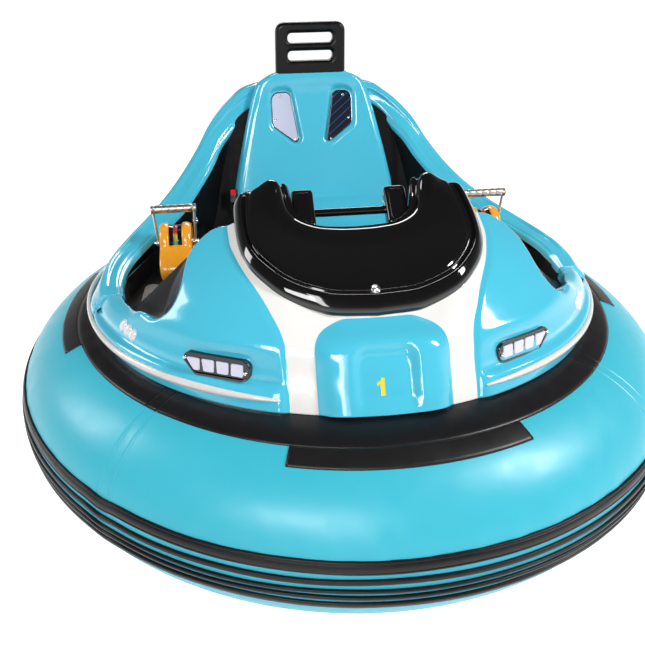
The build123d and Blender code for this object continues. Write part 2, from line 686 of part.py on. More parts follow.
for side, name in SIDES:
    with BuildPart() as bezel:
        add(lamp_block(side, 0, LAMP_PROUD, LAMP_SIZE[2] - LAMP_PROUD))
        with BuildSketch(lamp_plane(side, -LAMP_PROUD)):
            with GridLocations(LENS_PITCH, 0, LENS_COUNT, 1):
                Rectangle(LENS_SIZE[0] + 2 * SEAT_GAP, LENS_SIZE[1] + 2 * SEAT_GAP)
        extrude(amount=-LENS_SIZE[2] - SEAT_GAP, mode=Mode.SUBTRACT)
    save(bezel, f"headlight_bezel_{name}")

    with BuildPart() as marker:
        add(marker_lobes(side))
        add(level_oval_solid(HOOD_LEVELS, SEAT_GAP), mode=Mode.SUBTRACT)
    save(marker, f"side_marker_{name}")

with BuildPart() as headlight_lenses:
    for side in (-1, 1):
        with BuildSketch(lamp_plane(side, -LAMP_PROUD)):
            with GridLocations(LENS_PITCH, 0, LENS_COUNT, 1):
                Rectangle(LENS_SIZE[0], LENS_SIZE[1])
        extrude(amount=-LENS_SIZE[2])
save(headlight_lenses, "headlight_lenses")

with BuildPart() as light_strips:
    add(level_oval_solid(HOOD_LEVELS, STRIP_PROUD))
    add(level_oval_solid(HOOD_LEVELS, SEAT_GAP), mode=Mode.SUBTRACT)
    with Locations((0, SEAM_Y, STRIP_LOW)):
        Box(2 * BEYOND_ALL, BEYOND_ALL, STRIP_HEIGHT, align=AHEAD, mode=Mode.INTERSECT)
        Box(2 * STRIP_INNER_X, BEYOND_ALL, STRIP_HEIGHT, align=AHEAD, mode=Mode.SUBTRACT)
save(light_strips, "light_strips")

with BuildPart() as tail_lamps:
    with Locations(*rear_lamp_places()):
        Cylinder(TAIL_RADIUS, TAIL_DEPTH)
save(tail_lamps, "tail_lamps")

with BuildPart() as charge_socket:
    with Locations(Location((0, rear_face_y(SOCKET_Z) + SOCKET_PROUD, SOCKET_Z), (-90, 0, 0))):
        Cylinder(SOCKET_RADIUS, SOCKET_DEPTH, align=DOWNWARD)
        Cylinder(SOCKET_BORE, SOCKET_BORE_DEPTH, align=DOWNWARD, mode=Mode.SUBTRACT)
save(charge_socket, "charge_socket")

# ---- control levers ---------------------------------------------------------------
for side, name in SIDES:
    lever_x = side * LEVER_X
    with BuildPart() as slot:
        with BuildSketch(Plane.YZ.offset(lever_x)):
            with Locations((LEVER_Y, LEVER_Z)):
                Circle(DRUM_RADIUS + 1)
                Circle(DRUM_RADIUS - DRUM_SLOT[1], mode=Mode.SUBTRACT)
            with Locations((LEVER_Y - DRUM_RADIUS, LEVER_Z - DRUM_SLOT_DROP)):
                Rectangle(2 * DRUM_RADIUS, 4 * DRUM_RADIUS, align=UPWARD[1:], mode=Mode.INTERSECT)
        extrude(amount=DRUM_SLOT[0] / 2, both=True)

    with BuildPart() as housing:
        with BuildSketch(Plane.YZ.offset(lever_x)):
            with Locations((LEVER_Y, LEVER_Z)):
                Circle(DRUM_RADIUS)
            with Locations((LEVER_Y, shelf_top)):
                Rectangle(2 * DRUM_RADIUS, LEVER_Z - shelf_top, align=(Align.CENTER, Align.MIN))
            toe = LEVER_Y - DRUM_RADIUS
            toe_top = (toe, LEVER_Z - TOE_LENGTH)
            Polygon(toe_top, (toe - TOE_LENGTH, shelf_top), (LEVER_Y, shelf_top), align=None)
        extrude(amount=DRUM_WIDTH / 2, both=True)
        with Locations(Location((lever_x, LEVER_Y, LEVER_Z), (0, 90, 0))):
            Cylinder(PIVOT_RADIUS + SEAT_GAP, 2 * DRUM_WIDTH, mode=Mode.SUBTRACT)
        add(slot.part, mode=Mode.SUBTRACT)
    save(housing, f"lever_housing_{name}")

    with BuildPart() as lever:
        for leg in (-1, 1):
            leg_x = lever_x + leg * LEVER_SPREAD / 2
            with Locations(Location((leg_x, LEVER_Y, LEVER_Z), (0, 90, 0))):
                Cylinder(EYE_RADIUS, EYE_WIDTH)
            with Locations((leg_x, LEVER_Y, LEVER_Z + LEVER_REACH / 2)):
                Box(EYE_WIDTH, LEG_THICKNESS, LEVER_REACH)
        with Locations(Location((lever_x, LEVER_Y, LEVER_Z + LEVER_REACH), (0, 90, 0))):
            Cylinder(GRIP_RADIUS, LEVER_SPREAD + EYE_WIDTH + 2 * GRIP_PROUD)
        with Locations(Location((lever_x, LEVER_Y, LEVER_Z), (0, 90, 0))):
            Cylinder(PIVOT_RADIUS + PIN_PLAY, 2 * LEVER_SPREAD, mode=Mode.SUBTRACT)
    save(lever, f"lever_{name}")

with BuildPart() as lever_pins:
    with Locations(*[Location((side * LEVER_X, LEVER_Y, LEVER_Z), (0, 90, 0)) for side in (-1, 1)]):
        Cylinder(PIVOT_RADIUS, LEVER_SPREAD + EYE_WIDTH + 2 * PIN_PROUD)
save(lever_pins, "lever_pins")

with BuildPart() as belt_buckle:
    seat_side = SEAT_OUTLINE[0][0] + SEAT_GAP
    with Locations((-seat_side, seat_face_y(BUCKLE_Z) + BUCKLE_FORWARD, BUCKLE_Z)):
        Box(BUCKLE[0], BUCKLE[1], BUCKLE[2], align=(Align.MAX, Align.CENTER, Align.MIN))
        Box(STALK[0], BUCKLE[1], STALK[1], align=(Align.MAX, Align.CENTER, Align.MAX))
save(belt_buckle, "belt_buckle")

# ---- chassis ----------------------------------------------------------------------
rail_top = RAIL_BASE + RAIL
hoop_inner = HOOP_OUTER - HOOP_WALL


with BuildPart() as chassis_hoop:
    with BuildSketch(Plane.XY.offset(RAIL_BASE)):
        Circle(HOOP_OUTER)
        Circle(hoop_inner, mode=Mode.SUBTRACT)
    extrude(amount=HOOP_HEIGHT)
save(chassis_hoop, "chassis_hoop")

with BuildPart() as chassis_frame:
    with BuildSketch(Plane.XY.offset(RAIL_BASE)):
        with Locations((-RAIL_X, 0), (RAIL_X, 0)):
            Rectangle(RAIL, 2 * hoop_inner)
        with Locations(*[(0, y) for y in (-CASTER_Y, -CROSS_Y, CROSS_Y, CASTER_Y)]):
            Rectangle(2 * hoop_inner, RAIL)
        Circle(hoop_inner - SEAT_GAP, mode=Mode.INTERSECT)
    extrude(amount=RAIL)
    for x in (-RAIL_X, RAIL_X):
        with Locations((x, -POST_Y, rail_top), (x, POST_Y, rail_top)):
            Box(POST, POST, TUB_FLOOR - rail_top, align=UPWARD)
        with Locations((x, 0, RAIL_BASE)):
            Box(RAIL, SADDLE_LENGTH, RAIL_BASE - WHEEL_RADIUS - MOTOR_RADIUS - SEAT_GAP, align=DOWNWARD)
    with Locations((0, -CASTER_Y, RAIL_BASE), (0, CASTER_Y, RAIL_BASE)):
        Cylinder(STEM_BOSS[0], STEM_BOSS[1], align=DOWNWARD)
        Cylinder(STEM_RADIUS + PIN_PLAY, 2 * STEM_BOSS[1] + STEM_ROOM, mode=Mode.SUBTRACT)
save(chassis_frame, "chassis_frame")

with BuildPart() as batteries:
    battery_x = (BATTERY_SIZE[0] + BATTERY_SPLIT) / 2
    with Locations((-battery_x, BATTERY_Y, rail_top), (battery_x, BATTERY_Y, rail_top)):
        Box(*BATTERY_SIZE, align=UPWARD)
save(batteries, "batteries")

for side, name in SIDES:
    motor_end = WHEEL_X - WHEEL_WIDTH / 2 - MOTOR_WHEEL_GAP
    axle_length = MOTOR_WHEEL_GAP + WHEEL_WIDTH + 2 * PIN_PROUD
    with BuildPart() as drive_motor:
        with Locations(Location((side * (motor_end - MOTOR_LENGTH / 2), 0, WHEEL_RADIUS), (0, 90, 0))):
            Cylinder(MOTOR_RADIUS, MOTOR_LENGTH)
        with Locations(Location((side * (motor_end + axle_length / 2 - JOIN), 0, WHEEL_RADIUS), (0, 90, 0))):
            Cylinder(AXLE_RADIUS, axle_length)
    save(drive_motor, f"drive_motor_{name}")

    with BuildPart() as hub:
        with Locations(Location((side * WHEEL_X, 0, WHEEL_RADIUS), (0, 90, 0))):
            Cylinder(HUB_RADIUS, HUB_WIDTH)
            Cylinder(AXLE_RADIUS + PIN_PLAY, WHEEL_WIDTH, mode=Mode.SUBTRACT)
    save(hub, f"drive_hub_{name}")

    with BuildPart() as tyre:
        with Locations(Location((side * WHEEL_X, 0, WHEEL_RADIUS), (0, 90, 0))):
            Cylinder(WHEEL_RADIUS, WHEEL_WIDTH)
            Cylinder(HUB_RADIUS + SEAT_GAP, WHEEL_WIDTH, mode=Mode.SUBTRACT)
    save(tyre, f"drive_tyre_{name}")

for end, name in ((-1, "front"), (1, "rear")):
    stem_y = end * CASTER_Y
    axle_y = stem_y + CASTER_TRAIL
    with BuildPart() as fork:
        with Locations((0, stem_y, FORK_TOP)):
            Cylinder(*FORK_CROWN, align=UPWARD)
            Cylinder(STEM_RADIUS, RAIL_BASE - FORK_TOP, align=UPWARD)
        for leg in (-1, 1):
            leg_x = leg * (CASTER_WIDTH / 2 + MOVE_GAP + FORK_PLATE / 2)
            with BuildSketch(Plane.YZ.offset(leg_x)):
                Polygon((stem_y - FORK_SHOULDER, FORK_TOP + 1), (stem_y + FORK_SHOULDER, FORK_TOP + 1),
                        (axle_y + FORK_EYE, CASTER_RADIUS), (axle_y, CASTER_RADIUS - FORK_EYE),
                        (axle_y - FORK_EYE, CASTER_RADIUS), align=None)
            extrude(amount=FORK_PLATE / 2, both=True)
        with Locations(Location((0, axle_y, CASTER_RADIUS), (0, 90, 0))):
            Cylinder(PIVOT_RADIUS, CASTER_WIDTH + 2 * (MOVE_GAP + FORK_PLATE + PIN_PROUD))
    save(fork, f"caster_fork_{name}")

    with BuildPart() as caster_wheel:
        with Locations(Location((0, axle_y, CASTER_RADIUS), (0, 90, 0))):
            Cylinder(CASTER_RADIUS, CASTER_WIDTH)
            Cylinder(PIVOT_RADIUS + PIN_PLAY, CASTER_WIDTH, mode=Mode.SUBTRACT)
        fillet(edges().filter_by(GeomType.CIRCLE).group_by(SortBy.RADIUS)[-1], CASTER_EDGE)
    save(caster_wheel, f"caster_wheel_{name}")
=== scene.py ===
import math
import bpy
import bmesh
import numpy as np
from mathutils import Matrix, Vector


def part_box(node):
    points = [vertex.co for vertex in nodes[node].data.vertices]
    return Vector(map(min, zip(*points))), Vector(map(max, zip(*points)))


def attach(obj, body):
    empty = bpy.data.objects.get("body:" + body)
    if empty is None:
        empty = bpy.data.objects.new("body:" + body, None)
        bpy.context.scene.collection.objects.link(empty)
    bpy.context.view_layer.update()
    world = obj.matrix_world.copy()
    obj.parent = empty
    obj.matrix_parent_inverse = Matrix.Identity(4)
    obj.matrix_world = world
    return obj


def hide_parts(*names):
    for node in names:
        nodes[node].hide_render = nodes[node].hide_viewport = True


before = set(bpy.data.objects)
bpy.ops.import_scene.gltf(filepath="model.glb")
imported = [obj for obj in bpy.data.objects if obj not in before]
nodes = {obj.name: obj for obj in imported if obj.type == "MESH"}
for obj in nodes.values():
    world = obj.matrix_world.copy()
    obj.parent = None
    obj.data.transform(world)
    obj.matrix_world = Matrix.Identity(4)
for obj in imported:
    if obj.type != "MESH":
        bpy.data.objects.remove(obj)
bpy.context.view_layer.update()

# Bumper car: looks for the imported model. Metres; nose to -Y, driver's left is +X.

scene = bpy.context.scene
SIDES = ((1, "left"), (-1, "right"))


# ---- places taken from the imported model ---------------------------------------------
def middle(node):
    low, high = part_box(node)
    return (low + high) / 2


RING_LOW, RING_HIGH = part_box("bumper_ring")
TUBE_HALF_HEIGHT = (RING_HIGH.z - RING_LOW.z) / 2
RING_Z = (RING_HIGH.z + RING_LOW.z) / 2
TUBE_HALF_WIDTH = 0.250
RING_RADIUS = RING_HIGH.x - TUBE_HALF_WIDTH
BODY_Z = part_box("front_hood")[0].z
BASE_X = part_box("front_hood")[1].x
HOOD_Y = -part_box("front_hood")[0].y
SEAM_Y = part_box("front_hood")[1].y
REAR_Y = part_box("rear_body")[1].y
BAND_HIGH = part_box("ring_band")[1]


# ---- numeric helpers ----------------------------------------------------------------
def smooth_curve(rows):
    """Monotone cubic through (x, values...) rows; returns a function of x."""
    table = np.array(rows, float)
    x, y = table[:, 0], table[:, 1:]
    h = np.diff(x)[:, None]
    d = np.diff(y, axis=0) / h
    m = np.zeros_like(y)
    m[0], m[-1] = d[0], d[-1]
    if len(x) > 2:
        w1, w2 = 2 * h[1:] + h[:-1], h[1:] + 2 * h[:-1]
        same = d[:-1] * d[1:] > 0
        safe0 = np.where(same, d[:-1], 1.0)
        safe1 = np.where(same, d[1:], 1.0)
        m[1:-1] = np.where(same, (w1 + w2) / (w1 / safe0 + w2 / safe1), 0.0)

    def at(value):
        v = np.clip(np.asarray(value, float), x[0], x[-1])
        i = np.clip(np.searchsorted(x, v, side="right") - 1, 0, len(x) - 2)
        s = (x[i + 1] - x[i])[..., None]
        t = (v - x[i])[..., None] / s
        a = (1 + 2 * t) * (1 - t) ** 2
        b = t * (1 - t) ** 2
        c = t ** 2 * (3 - 2 * t)
        e = t ** 2 * (t - 1)
        out = a * y[i] + b * s * m[i] + c * y[i + 1] + e * s * m[i + 1]
        return out[..., 0] if y.shape[1] == 1 else out

    return at


def unit(v):
    return v / np.maximum(np.linalg.norm(v, axis=-1), 1e-9)[..., None]


def step(value, low, high):
    """Smooth rise from 0 at low to 1 at high."""
    t = np.clip((np.asarray(value, float) - low) / (high - low), 0, 1)
    return t * t * (3 - 2 * t)


def soft_min(a, b, k):
    """The lesser of two values, blended where they are within k."""
    h = np.clip(0.5 + 0.5 * (b - a) / k, 0, 1)
    return b + (a - b) * h - k * h * (1 - h)


def spline(points, count, closed=False):
    """Catmull-Rom curve through points, resampled evenly."""
    p = np.array(points, float)
    if closed:
        p = np.vstack([p[-1], p, p[0], p[1]])
    else:
        p = np.vstack([2 * p[0] - p[1], p, 2 * p[-1] - p[-2]])
    out = []
    for i in range(1, len(p) - 2):
        t = np.linspace(0, 1, 24, endpoint=False)[:, None]
        a, b, c, d = p[i - 1], p[i], p[i + 1], p[i + 2]
        out.append(0.5 * (2 * b + (c - a) * t + (2 * a - 5 * b + 4 * c - d) * t ** 2
                          + (3 * b - a - 3 * c + d) * t ** 3))
    out = np.vstack(out + [p[-2][None]])
    length = np.r_[0, np.cumsum(np.linalg.norm(np.diff(out, axis=0), axis=1))]
    want = np.linspace(0, length[-1], count + 1 if closed else count)
    even = np.stack([np.interp(want, length, out[:, k]) for k in range(p.shape[1])], 1)
    return even[:-1] if closed else even


def rounded(corners, steps=10):
    """Polygon (x, y, radius) with its corners turned into arcs."""
    pts = [np.array(c[:2], float) for c in corners]
    out = []
    for i, b in enumerate(pts):
        a, c = pts[i - 1], pts[(i + 1) % len(pts)]
        u, v = unit(a - b), unit(c - b)
        half = math.acos(np.clip(u @ v, -1, 1)) / 2
        reach = min(np.linalg.norm(a - b), np.linalg.norm(c - b))
        cut = min(corners[i][2] / math.tan(half), 0.49 * reach)
        centre = b + unit(u + v) * cut * math.tan(half) / math.sin(half)
        start = b + u * cut - centre
        turn = -1 if np.cross(u, v) > 0 else 1
        for k in range(steps + 1):
            angle = turn * (math.pi - 2 * half) * k / steps
            co, si = math.cos(angle), math.sin(angle)
            out.append(centre + np.array([co * start[0] - si * start[1],
                                          si * start[0] + co * start[1]]))
    return np.array(out)


def rounded_box(w, low, high, r_low, r_high, top=None, steps=10):
    """Outline from low to high, w each side of the middle; top is its half width up there."""
    top = w if top is None else top
    return rounded([(-w, low, r_low), (-top, high, r_high), (top, high, r_high),
                    (w, low, r_low)], steps)


def outline_distance(x, y, outline):
    """Signed distance to a closed outline, positive outside it."""
    shape = np.shape(x)
    p = np.stack([np.ravel(x), np.ravel(y)], 1)
    a, b = outline, np.roll(outline, -1, 0)
    best = np.full(len(p), 1e9)
    inside = np.zeros(len(p), bool)
    for s, e in zip(a, b):
        d = e - s
        size = d @ d
        if size < 1e-14:
            continue
        t = np.clip(((p - s) @ d) / size, 0, 1)
        best = np.minimum(best, np.linalg.norm(p - s - t[:, None] * d, axis=1))
        cross = (s[1] > p[:, 1]) != (e[1] > p[:, 1])
        at = s[0] + (p[:, 1] - s[1]) * d[0] / (d[1] if abs(d[1]) > 1e-12 else 1e-12)
        inside ^= cross & (p[:, 0] < at)
    return np.where(inside, -best, best).reshape(shape)


# ---- mesh helpers -------------------------------------------------------------------
def grid_faces(rows, cols, wrap_rows=False, wrap_cols=False):
    r = np.arange(rows if wrap_rows else rows - 1)
    c = np.arange(cols if wrap_cols else cols - 1)
    r, c = np.meshgrid(r, c, indexing="ij")
    r1, c1 = (r + 1) % rows, (c + 1) % cols
    quads = np.stack([r * cols + c, r * cols + c1, r1 * cols + c1, r1 * cols + c], -1)
    return quads.reshape(-1, 4)


def mesh_object(name, verts, faces, material, smooth=True, values=None):
    """Object from points and faces; values is a dict of per-point numbers."""
    mesh = bpy.data.meshes.new(name)
    faces = faces.tolist() if isinstance(faces, np.ndarray) else faces
    mesh.from_pydata(np.asarray(verts, float).tolist(), [], faces)
    for key, data in (values or {}).items():
        mesh.attributes.new(key, "FLOAT", "POINT").data.foreach_set(
            "value", np.asarray(data, np.float32))
    mesh.update()
    if smooth:
        mesh.polygons.foreach_set("use_smooth", [True] * len(mesh.polygons))
    obj = bpy.data.objects.new(name, mesh)
    scene.collection.objects.link(obj)
    mesh.materials.append(material)
    return obj


def merged(name, parts, material, smooth=True):
    """One object from several (verts, faces) pairs."""
    verts, faces, base = [], [], 0
    for v, f in parts:
        verts.append(np.asarray(v, float))
        faces += [[int(i) + base for i in face] for face in f]
        base += len(v)
    return mesh_object(name, np.vstack(verts), faces, material, smooth)


def piece(obj, body, slot, *replaced):
    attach(obj, body)
    if replaced:
        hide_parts(*replaced)
    return obj


def fitted(name, parts, look, slot, *replaced, smooth=True, sharp=0, body="root"):
    """One piece from mesh parts; sharp is the least angle of its hard edges in degrees."""
    obj = merged(name, parts, mat[look], smooth)
    if sharp:
        obj.data.set_sharp_from_angle(angle=math.radians(sharp))
    return piece(obj, body, slot, *replaced)


def skinned(obj, thickness, offset=-1.0):
    """Gives an open sheet its thickness."""
    work = obj.modifiers.new("skin", "SOLIDIFY")
    work.thickness = thickness
    work.offset = offset
    return obj


def outward(obj):
    """Makes the faces of a closed mesh look outwards."""
    work = bmesh.new()
    work.from_mesh(obj.data)
    bmesh.ops.recalc_face_normals(work, faces=work.faces)
    work.to_mesh(obj.data)
    work.free()
    return obj


def clip(verts, faces, field):
    """Keeps the part of a quad mesh where field > 0, cut along field = 0."""
    keep = field > 0
    count = keep[faces].sum(1)
    cuts, extra = {}, []
    out = [list(map(int, f)) for f in faces[count == 4]]

    def crossing(i, j):
        key = (i, j) if i < j else (j, i)
        if key not in cuts:
            a, b = key
            t = min(max(field[a] / (field[a] - field[b]), 0.02), 0.98)
            cuts[key] = len(verts) + len(extra)
            extra.append(verts[a] + (verts[b] - verts[a]) * t)
        return cuts[key]

    for f in faces[(count > 0) & (count < 4)]:
        ring = []
        for k in range(4):
            i, j = int(f[k]), int(f[(k + 1) % 4])
            if keep[i]:
                ring.append(i)
            if keep[i] != keep[j]:
                ring.append(crossing(i, j))
        if len(ring) > 2:
            out.append(ring)
    allv = np.vstack([verts, np.array(extra)]) if extra else verts
    used = sorted({i for f in out for i in f})
    new = {old: k for k, old in enumerate(used)}
    return allv[used], [[new[i] for i in f] for f in out]


def upward(pts, faces):
    """Turns the faces over if they look down."""
    down = vertex_normals(pts, faces)[:, 2].mean() < 0
    return [f[::-1] for f in faces] if down else faces


def edge_loops(faces):
    """Chains of boundary vertices in winding order."""
    sides = dict.fromkeys((f[k], f[(k + 1) % len(f)]) for f in faces for k in range(len(f)))
    after = {a: b for a, b in sides if (b, a) not in sides}
    loops = []
    while after:
        start = next(iter(after))
        loop = [start]
        nxt = after.pop(start)
        while nxt != start and nxt in after:
            loop.append(nxt)
            nxt = after.pop(nxt)
        loops.append(loop)
    return loops


def vertex_normals(verts, faces):
    normal = np.zeros((len(verts), 3))
    for size in (3, 4, 5):
        group = np.array([f for f in faces if len(f) == size])
        if not len(group):
            continue
        a, b, c = verts[group[:, 0]], verts[group[:, 1]], verts[group[:, -1]]
        if size >= 4:
            n = np.cross(verts[group[:, 2]] - a, verts[group[:, 3]] - b)
        else:
            n = np.cross(b - a, c - a)
        for k in range(size):
            np.add.at(normal, group[:, k], n)
    return normal / np.maximum(np.linalg.norm(normal, axis=1), 1e-12)[:, None]


def circular_smooth(data, times):
    for _ in range(times):
        data = 0.5 * data + 0.25 * (np.roll(data, 1, 0) + np.roll(data, -1, 0))
    return data


def roll_edges(verts, faces, profile_of, smoothing=14):
    """Adds a rolled lip on every boundary loop.

    profile_of(points) gives, for each boundary point, a list of (outwards, down) steps.
    """
    normals = vertex_normals(verts, faces)
    verts, faces = list(verts), list(faces)
    for loop in edge_loops(faces):
        if len(loop) < 8:
            continue
        p = np.array([verts[i] for i in loop])
        n = normals[loop]
        along = np.roll(p, -1, 0) - np.roll(p, 1, 0)
        along = circular_smooth(unit(along), smoothing)
        n = circular_smooth(n, smoothing)
        out = unit(np.cross(along, n))
        n = unit(n)
        steps = profile_of(p)
        previous = loop
        for k in range(steps.shape[1]):
            row = p + out * steps[:, k, :1] - n * steps[:, k, 1:2]
            ids = list(range(len(verts), len(verts) + len(loop)))
            verts += list(row)
            for i in range(len(loop)):
                j = (i + 1) % len(loop)
                faces.append([previous[j], previous[i], ids[i], ids[j]])
            previous = ids
    return np.array(verts), faces


def quarter(radius, count=6):
    """Steps (outwards, down) round a quarter circle."""
    a = np.linspace(0, math.pi / 2, count + 1)[1:]
    return [(radius * math.sin(t), radius * (1 - math.cos(t))) for t in a]


def lathe(profile, centre, axis, segments=64):
    """Surface of revolution: profile rows are (along axis, radius)."""
    axis = np.array(axis, float) / np.linalg.norm(axis)
    side = np.cross(axis, [0.0, 0.0, 1.0])
    if np.linalg.norm(side) < 1e-6:
        side = np.array([1.0, 0.0, 0.0])
    side /= np.linalg.norm(side)
    other = np.cross(axis, side)
    angle = np.linspace(0, 2 * math.pi, segments, endpoint=False)
    ring = np.cos(angle)[:, None] * side + np.sin(angle)[:, None] * other
    p = np.array(profile, float)
    v = np.array(centre) + p[:, 0, None, None] * axis + p[:, 1, None, None] * ring[None]
    return v.reshape(-1, 3), grid_faces(len(p), segments, wrap_cols=True)


def tube(points, radius, segments=20, cap=True):
    """Round bar along points, with domed ends if capped."""
    p = np.array(points, float)
    d = unit(np.gradient(p, axis=0))
    side = unit(np.cross(d, [0.31, 0.17, 0.93]))
    other = np.cross(d, side)
    radii = np.full(len(p), radius)
    if cap:
        a = np.linspace(0, math.pi / 2, 5)[1:]
        rise = radius * 0.6 * np.sin(a)[:, None]
        narrow = radius * np.cos(a) + 1e-5
        pick = np.r_[[0] * 4, np.arange(len(p)), [len(p) - 1] * 4]
        p = np.vstack([p[0] - d[0] * rise[::-1], p, p[-1] + d[-1] * rise])
        radii = np.r_[narrow[::-1], radii, narrow]
        side, other = side[pick], other[pick]
    angle = np.linspace(0, 2 * math.pi, segments, endpoint=False)[None, :, None]
    v = p[:, None] + radii[:, None, None] * (np.cos(angle) * side[:, None]
                                             + np.sin(angle) * other[:, None])
    return v.reshape(-1, 3), grid_faces(len(p), segments, wrap_cols=True)


def screw(centre, normal, radius=0.005, height=0.003):
    """Domed screw head."""
    profile = [(-height, radius), (0, radius), (height * 0.5, radius * 0.92),
               (height * 0.85, radius * 0.7), (height, radius * 0.42),
               (height * 0.55, radius * 0.36), (height * 0.5, 0.00002)]
    return lathe(profile, centre, normal, 24)


def plate(outline, thickness, edge, place, holes=()):
    """Flat rounded plate from a 2-D outline; place is a 4x4 matrix."""
    curve = bpy.data.curves.new("plate", "CURVE")
    curve.dimensions = "2D"
    curve.fill_mode = "BOTH"
    for ring in (outline,) + tuple(holes):
        line = curve.splines.new("POLY")
        line.points.add(len(ring) - 1)
        for point, (x, y) in zip(line.points, ring):
            point.co = (x, y, 0, 1)
        line.use_cyclic_u = True
    curve.extrude = max(thickness / 2 - edge, 0.00005)
    curve.bevel_depth = edge
    curve.bevel_resolution = 4
    curve.offset = -edge
    made = bpy.data.objects.new("plate", curve)
    scene.collection.objects.link(made)
    bpy.context.view_layer.update()
    mesh = bpy.data.meshes.new_from_object(made)
    bpy.data.objects.remove(made)
    mesh.transform(place)
    v = np.array([p.co[:] for p in mesh.vertices])
    f = [list(p.vertices) for p in mesh.polygons]
    bpy.data.meshes.remove(mesh)
    return v, f


def facing(origin, out, up=(0, 0, 1)):
    """Matrix whose local Z is out and whose local Y is near up."""
    z = Vector(out).normalized()
    x = Vector(up).cross(z).normalized()
    y = z.cross(x)
    m = Matrix((x, y, z)).transposed().to_4x4()
    m.translation = Vector(origin)
    return m


# ---- materials ----------------------------------------------------------------------
class Nodes:
    """Small wrapper for making one procedural material."""

    def __init__(self, name):
        self.material = bpy.data.materials.new(name)
        self.material.use_nodes = True
        self.tree = self.material.node_tree
        self.shader = self.tree.nodes["Principled BSDF"]

    def set(self, node, key, value):
        if hasattr(value, "is_output"):
            self.tree.links.new(value, node.inputs[key])
        else:
            node.inputs[key].default_value = value

    def add(self, kind, **inputs):
        node = self.tree.nodes.new("ShaderNode" + kind)
        for key, value in inputs.items():
            self.set(node, key.replace("_", " "), value)
        return node

    def finish(self, **values):
        """Fills the shader's inputs and gives the material."""
        for key, value in values.items():
            self.set(self.shader, key.replace("_", " "), value)
        return self.material

    def coords(self):
        return self.add("TexCoord").outputs["Object"]

    def axes(self):
        return self.add("SeparateXYZ", Vector=self.coords()).outputs

    def attribute(self, name):
        node = self.add("Attribute")
        node.attribute_name = name
        return node.outputs["Fac"]

    def noise(self, scale, detail=3.0, rough=0.5, vector=None):
        node = self.add("TexNoise", Scale=scale, Detail=detail, Roughness=rough,
                        Vector=vector or self.coords())
        return node.outputs["Fac"]

    def remap(self, value, low, high, to_low, to_high):
        node = self.add("MapRange", Value=value, From_Min=low, From_Max=high, To_Min=to_low,
                        To_Max=to_high)
        return node.outputs["Result"]

    def uneven(self, scale, low, high, detail=3.0):
        """Noise that runs between two values."""
        return self.remap(self.noise(scale, detail), 0.3, 0.7, low, high)

    def mix(self, factor, a, b):
        node = self.add("Mix")
        node.data_type = "RGBA"
        for key, value in ((0, factor), (6, a), (7, b)):
            self.set(node, key, (*value, 1) if isinstance(value, tuple) else value)
        return node.outputs[2]

    def math(self, kind, a, b=0.0):
        node = self.add("Math")
        node.operation = kind
        self.set(node, 0, a)
        self.set(node, 1, b)
        return node.outputs[0]

    def wave(self, value, scale):
        return self.math("SINE", self.math("MULTIPLY", value, scale))

    def crossed(self, p, q, scale):
        """Two waves, one along each diagonal of two axes."""
        return [self.wave(self.math(kind, p, q), scale) for kind in ("ADD", "SUBTRACT")]

    def bump(self, height, strength, distance, **normal):
        node = self.add("Bump", Height=height, Strength=strength, Distance=distance, **normal)
        return node.outputs["Normal"]


def tint(colour, factor, lift=0.0):
    return tuple(min(1.0, factor * c + lift) for c in colour)


def fill_ramp(node, rows):
    """Colour ramp from (position, colour) rows."""
    stops = node.color_ramp.elements
    for stop, (at, colour) in ((stops[0], rows[0]), (stops[1], rows[-1])):
        stop.position, stop.color = at, (*colour, 1)
    for at, colour in rows[1:-1]:
        stops.new(at).color = (*colour, 1)


def gel_coat(name, colour, other=None, attribute=None, rough=0.10, wave=0.35):
    """Polished gel coat: slow waviness, faint shade change, optional second colour by attribute."""
    m = Nodes(name)
    shade = m.mix(m.noise(3.1, 2.0), tint(colour, 0.955), tint(colour, 1.03))
    if other is not None:
        edge = m.remap(m.attribute(attribute), -0.0006, 0.0006, 0.0, 1.0)
        shade = m.mix(edge, shade, m.mix(m.noise(5.0, 3.0), tint(other, 0.96), other))
    dirt = m.remap(m.noise(16.0, 5.0, 0.6), 0.35, 0.75, rough, rough * 1.7)
    return m.finish(Base_Color=shade, Roughness=dirt, Coat_Weight=0.6, Coat_Roughness=0.03,
                    Normal=m.bump(m.noise(9.0, 1.5), wave, 0.004), Specular_IOR_Level=0.5)


def coated_fabric(name, colour, rough, strength=0.12, gleam=0.5):
    """Reinforced PVC skin: fine cloth grain under a satin coat, soft large-scale unevenness."""
    m = Nodes(name)
    shade = m.mix(m.noise(2.3, 3.0), tint(colour, 0.93), tint(colour, 1.05))
    scuff = m.remap(m.noise(34.0, 6.0, 0.7), 0.62, 0.8, 0.0, 0.22)
    fine = m.bump(m.noise(900.0, 1.0), strength, 0.0004)
    return m.finish(Base_Color=m.mix(scuff, shade, tint(colour, 0.75, 0.06)),
                    Roughness=m.uneven(21.0, rough * 0.86, rough * 1.15, 4.0),
                    Normal=m.bump(m.noise(11.0, 2.0), 0.25, 0.004, Normal=fine),
                    Specular_IOR_Level=gleam, Coat_Weight=0.12 * gleam, Coat_Roughness=0.22)


